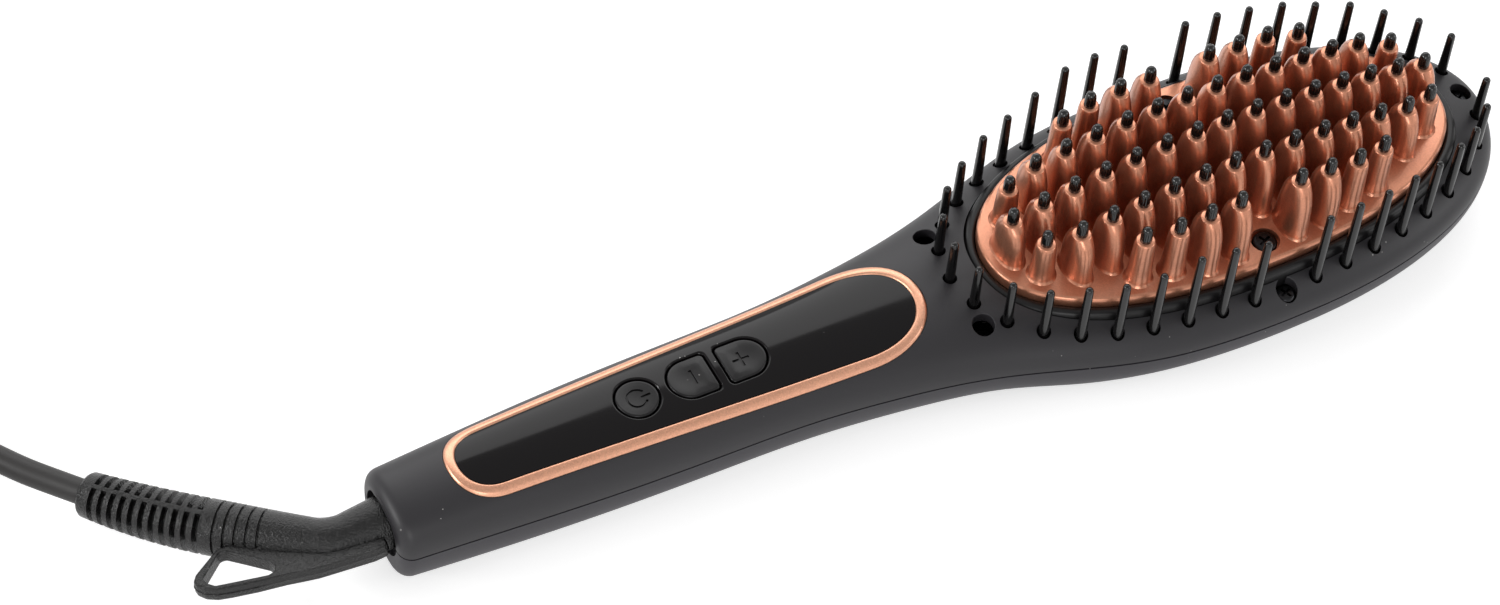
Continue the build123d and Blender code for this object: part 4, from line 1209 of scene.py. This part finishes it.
def relief_tube():
    """Cone, elbow and ribbed sleeve in one skin."""
    stations = []
    cone_start = CORD_END_X + 2.0
    cone_end = ELBOW_X + setback
    for step in range(10):
        x = cone_start + (cone_end - cone_start) * step / 9
        away = min(max((CORD_END_X - x) / (CORD_END_X - cone_end), 0.0), 1.0)
        radius = CONE_RADIUS + (ELBOW_RADIUS - CONE_RADIUS) * away
        stations.append((Vector((x, 0, PARTING)), Vector((-1, 0, 0)), None, radius))
    plain_steps = int((GROOVE_START - 1 - axis_places[0]) / 0.5)
    places = [axis_places[0] + step * 0.5 for step in range(1, plain_steps)]
    for number in range(GROOVE_COUNT):
        start = GROOVE_START + number * GROOVE_PITCH
        end = start + GROOVE_WIDTH
        places += [start - 0.12, start - 0.01, start + 0.01, end - 0.01, end + 0.01, end + 0.12]
    for number in range(RIB_COUNT):
        start = RIB_START + number * RIB_PITCH
        end = start + RIB_SLOT
        places += [start - 0.15, start - 0.011, start, end, end + 0.011, end + 0.15]
    places += [SLEEVE_LENGTH - 0.5, SLEEVE_LENGTH - 0.25, SLEEVE_LENGTH]
    for place in sorted(places):
        spot, way = relief_station(place)
        stations.append((spot, way, place, None))
    loops = []
    for place, way, along, radius in stations:
        across = way.cross(loop_normal).normalized()
        loop = []
        for step in range(72):
            turn = 2 * math.pi * step / 72
            reach = radius if along is None else relief_radius(along, turn)
            spoke = loop_normal * math.cos(turn) + across * math.sin(turn)
            loop.append(tuple(place + spoke * reach))
        loops.append(loop)
    return loft(loops)


def rounded_polygon(points, radius, steps=4):
    """A polygon with each corner turned into an arc."""
    corners = [Vector(p) for p in points]
    loop = []
    for last, here, following in zip(corners[-1:] + corners, corners, corners[1:] + corners[:1]):
        before = (last - here).normalized()
        after = (following - here).normalized()
        room = min((last - here).length, (following - here).length) / 2.2
        half = before.angle(after) / 2
        cut_back = min(radius / math.tan(half), room)
        size = cut_back * math.tan(half)
        middle = here + (before + after).normalized() * (size / math.sin(half))
        start = here + before * cut_back - middle
        end = here + after * cut_back - middle
        for step in range(steps + 1):
            share = step / steps
            spoke = start.slerp(end, share) if start.angle(end) > 1e-3 else start
            loop.append(middle + spoke)
    return loop


def along_spokes(points, around, turns):
    """Where spokes from a middle point, at the given angles, leave a loop."""
    ring = [p - around for p in points]
    result = []
    for turn in turns:
        way = Vector((math.cos(turn), math.sin(turn)))
        best = 0.0
        for a, b in zip(ring, ring[1:] + ring[:1]):
            edge = b - a
            cross = way.x * edge.y - way.y * edge.x
            if abs(cross) < 1e-9:
                continue
            reach = (a.x * edge.y - a.y * edge.x) / cross
            share = (a.x * way.y - a.y * way.x) / cross
            if reach > 0 and -1e-6 <= share <= 1 + 1e-6:
                best = max(best, reach)
        result.append(around + way * best)
    return result


def loop_plate():
    """The flat eye of the strain relief, with rounded edges and a moulding line."""
    around = Vector(LOOP_MIDDLE)
    outer = rounded_polygon(LOOP_OUTLINE, LOOP_CORNER)
    hole = rounded_polygon(LOOP_HOLE, LOOP_HOLE_CORNER)
    turns = [math.atan2(p.y - around.y, p.x - around.x) for p in outer + hole]
    turns = sorted({round(turn, 3) for turn in turns})
    outer = along_spokes(outer, around, turns)
    hole = along_spokes(hole, around, turns)
    half = LOOP_THICK / 2
    lower = [
        (0, 0.0, -0.16),
        (0, 0.0, -half + 0.5),
        (0, 0.15, -half + 0.15),
        (0, 0.5, -half),
        (0, 0.6, -half),
        (1, 0.4, -half),
        (1, 0.3, -half),
        (1, 0.08, -half + 0.08),
        (1, 0.0, -half + 0.3),
        (1, 0.0, -half + 0.4),
    ]
    profile = lower + [(edge, inset, -height) for edge, inset, height in reversed(lower)]
    profile += [(0, -0.16, 0.08), (0, -0.16, -0.08)]
    origin = Vector((0, 0, PARTING))
    loops = []
    for edge, inset, height in profile:
        loop = []
        for outside, inside in zip(outer, hole):
            span = (inside - outside).length
            share = inset / span if edge == 0 else 1 - inset / span
            flat = outside + (inside - outside) * share
            loop.append(tuple(origin + Vector((flat.x, 0, 0)) + side_way * flat.y + loop_normal * height))
        loops.append(loop)
    return loft(loops, joined=True)


relief = make_object("strain_relief_skin", relief_tube(), 40)
settle(relief, RELIEF_BLACK, "cord_swivel", "relief_black", "strain_relief")
eye = make_object("hanging_loop_skin", loop_plate(), 50)
settle(eye, RELIEF_BLACK, "cord_swivel", "relief_black", "strain_relief")


# Cord

heading = math.radians(COIL_HEADING)
coil_start = Vector((*CORD_TURN, COIL_BASE)) + Vector((-math.sin(heading), math.cos(heading), 0)) * COIL_LEAD
coil_x = coil_start.x - COIL_OUTER * math.cos(heading)
coil_y = coil_start.y - COIL_OUTER * math.sin(heading)
whole_turn = math.pi * COIL_HALF_TURNS - heading


def coil_point(share):
    """A point of the coiled cord, in on the lower layer and out on the upper one, at a share of its turns."""
    turned = share * whole_turn
    spread = abs(turned - whole_turn / 2) / (2 * math.pi)
    radius = COIL_OUTER - COIL_PITCH * (whole_turn / (4 * math.pi) - spread)
    climb = min(max((turned - whole_turn / 2) / math.pi + 0.5, 0.0), 1.0)
    height = COIL_BASE + COIL_PITCH * climb * climb * (3 - 2 * climb)
    turn = heading + turned
    return Vector((coil_x + radius * math.cos(turn), coil_y + radius * math.sin(turn), height))


def cord_points():
    """The cord's route in millimetres: out of the sleeve, into the coil, round it and to the plug."""
    sleeve_end = corner + sleeve_way * SLEEVE_LENGTH
    first = coil_point(0.0)
    way_in = (coil_point(0.0005) - first).normalized()
    last = coil_point(1.0)
    way_out = (last - coil_point(0.9995)).normalized()
    coil_in = first - way_in * CORD_END_GAP
    coil_out = last + way_out * CORD_END_GAP
    mouth = Vector((coil_out.x, coil_out.y - PLUG_DROP, PLUG_HEIGHT / 2))
    points = [sleeve_end - axis_ways[-1] * CORD_INSIDE, sleeve_end + axis_ways[-1] * SLEEVE_LEAD]
    points += [Vector(point) for point in CORD_ROUTE]
    points += [coil_in - way_in * COIL_IN_LEAD, coil_in]
    count = int(round(whole_turn / (2 * math.pi) * COIL_POINTS_PER_TURN))
    points += [coil_point(step / count) for step in range(count + 1)]
    points += [coil_out, coil_out + way_out * PLUG_LEAD, mouth + Vector((0, PLUG_LEAD, 0)), mouth]
    return points


curve = bpy.data.curves.new("mains_cord", "CURVE")
curve.dimensions = "3D"
curve.bevel_depth = CORD_RADIUS * MM
curve.bevel_resolution = 6
curve.resolution_u = 6
curve.use_fill_caps = True
spline = curve.splines.new("NURBS")
route = cord_points()
spline.points.add(len(route) - 1)
for point, place in zip(spline.points, route):
    point.co = (*(place * MM), 1.0)
spline.order_u = 3
spline.use_endpoint_u = True
spline.use_smooth = True
cord = bpy.data.objects.new("mains_cord", curve)
bpy.context.scene.collection.objects.link(cord)
curve.materials.append(CORD_GREY)
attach(cord, "cord_swivel")
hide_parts("cord", "cord_coil")


# Studio

scene = bpy.context.scene
lens = bpy.data.cameras.new("camera")
lens.lens = CAMERA_LENS
lens.sensor_width = SENSOR_WIDTH
lens.sensor_fit = "HORIZONTAL"
lens.clip_start = 0.01
lens.clip_end = 50
camera = bpy.data.objects.new("camera", lens)
scene.collection.objects.link(camera)
right = Vector(CAMERA_RIGHT)
up = Vector(CAMERA_UP)
turned = Matrix((right, up, right.cross(up))).transposed().to_4x4()
camera.matrix_world = Matrix.Translation(CAMERA_PLACE) @ turned
scene.camera = camera


def add_lamp(name, place, aim, width, height, power):
    """A soft lamp at a place, turned towards a point."""
    lamp = bpy.data.lights.new(name, "AREA")
    lamp.shape = "RECTANGLE"
    lamp.size = width
    lamp.size_y = height
    lamp.energy = power
    holder = bpy.data.objects.new(name, lamp)
    scene.collection.objects.link(holder)
    holder.location = place
    holder.rotation_euler = (Vector(aim) - Vector(place)).to_track_quat("-Z", "Y").to_euler()


add_lamp("back softbox", (0.42, 1.0, 0.88), (0, 0, 0.02), 1.9, 0.78, 10.5)
add_lamp("left strip", (-0.95, 0.2, 0.5), (0, 0, 0.02), 0.6, 0.12, 4.5)
add_lamp("front lamp", (-0.48, -0.95, 0.5), (0.02, 0, 0.02), 0.4, 0.4, 2.8)
add_lamp("right lamp", (0.9, -0.5, 0.5), (0.05, 0, 0.02), 0.4, 0.4, 1.8)

floor_mesh = bpy.data.meshes.new("floor")
floor_mesh.from_pydata([(-3, -3, 0), (3, -3, 0), (3, 3, 0), (-3, 3, 0)], [], [(0, 1, 2, 3)])
floor = bpy.data.objects.new("floor", floor_mesh)
scene.collection.objects.link(floor)


def seen_directly(tree, mirrored):
    """1 for rays from the camera or clear material, mirrored for rays off a gloss, and 0 for light."""
    path = tree.nodes.new("ShaderNodeLightPath").outputs
    first = maths(tree, "MAXIMUM", path["Is Camera Ray"], path["Is Transmission Ray"])
    return maths(tree, "MAXIMUM", first, maths(tree, "MULTIPLY", path["Is Glossy Ray"], mirrored))


def dim_overhead(tree):
    """A share of white for each direction of the studio: full at the walls, less at the ceiling."""
    parts = tree.nodes.new("ShaderNodeSeparateXYZ")
    feed(tree, parts.inputs["Vector"], tree.nodes.new("ShaderNodeTexCoord").outputs["Generated"])
    fall = ramp(tree, parts.outputs["Z"], 0.35, 0.95, 1.0, 0.5)
    fall.interpolation_type = "SMOOTHSTEP"
    return fall.outputs["Result"]


floor_look = bpy.data.materials.new("pale floor")
floor_look.use_nodes = True
tree = floor_look.node_tree
tree.nodes.clear()
matt = tree.nodes.new("ShaderNodeBsdfDiffuse")
feed(tree, matt.inputs["Color"], (0.8, 0.8, 0.8, 1.0))
glow = tree.nodes.new("ShaderNodeEmission")
feed(tree, glow.inputs["Strength"], maths(tree, "MULTIPLY", seen_directly(tree, 1.0), FLOOR_GLOW))
both = tree.nodes.new("ShaderNodeAddShader")
feed(tree, both.inputs[0], matt.outputs[0])
feed(tree, both.inputs[1], glow.outputs[0])
feed(tree, tree.nodes.new("ShaderNodeOutputMaterial").inputs["Surface"], both.outputs[0])
floor.data.materials.append(floor_look)

world = bpy.data.worlds.new("studio")
scene.world = world
world.use_nodes = True
tree = world.node_tree
sky = tree.nodes["Background"]
feed(tree, sky.inputs["Color"], (1.0, 1.0, 1.0, 1.0))
share = maths(tree, "MULTIPLY", seen_directly(tree, dim_overhead(tree)), 1.0 - STUDIO_LIGHT)
feed(tree, sky.inputs["Strength"], maths(tree, "ADD", STUDIO_LIGHT, share))

scene.view_settings.view_transform = "Standard"
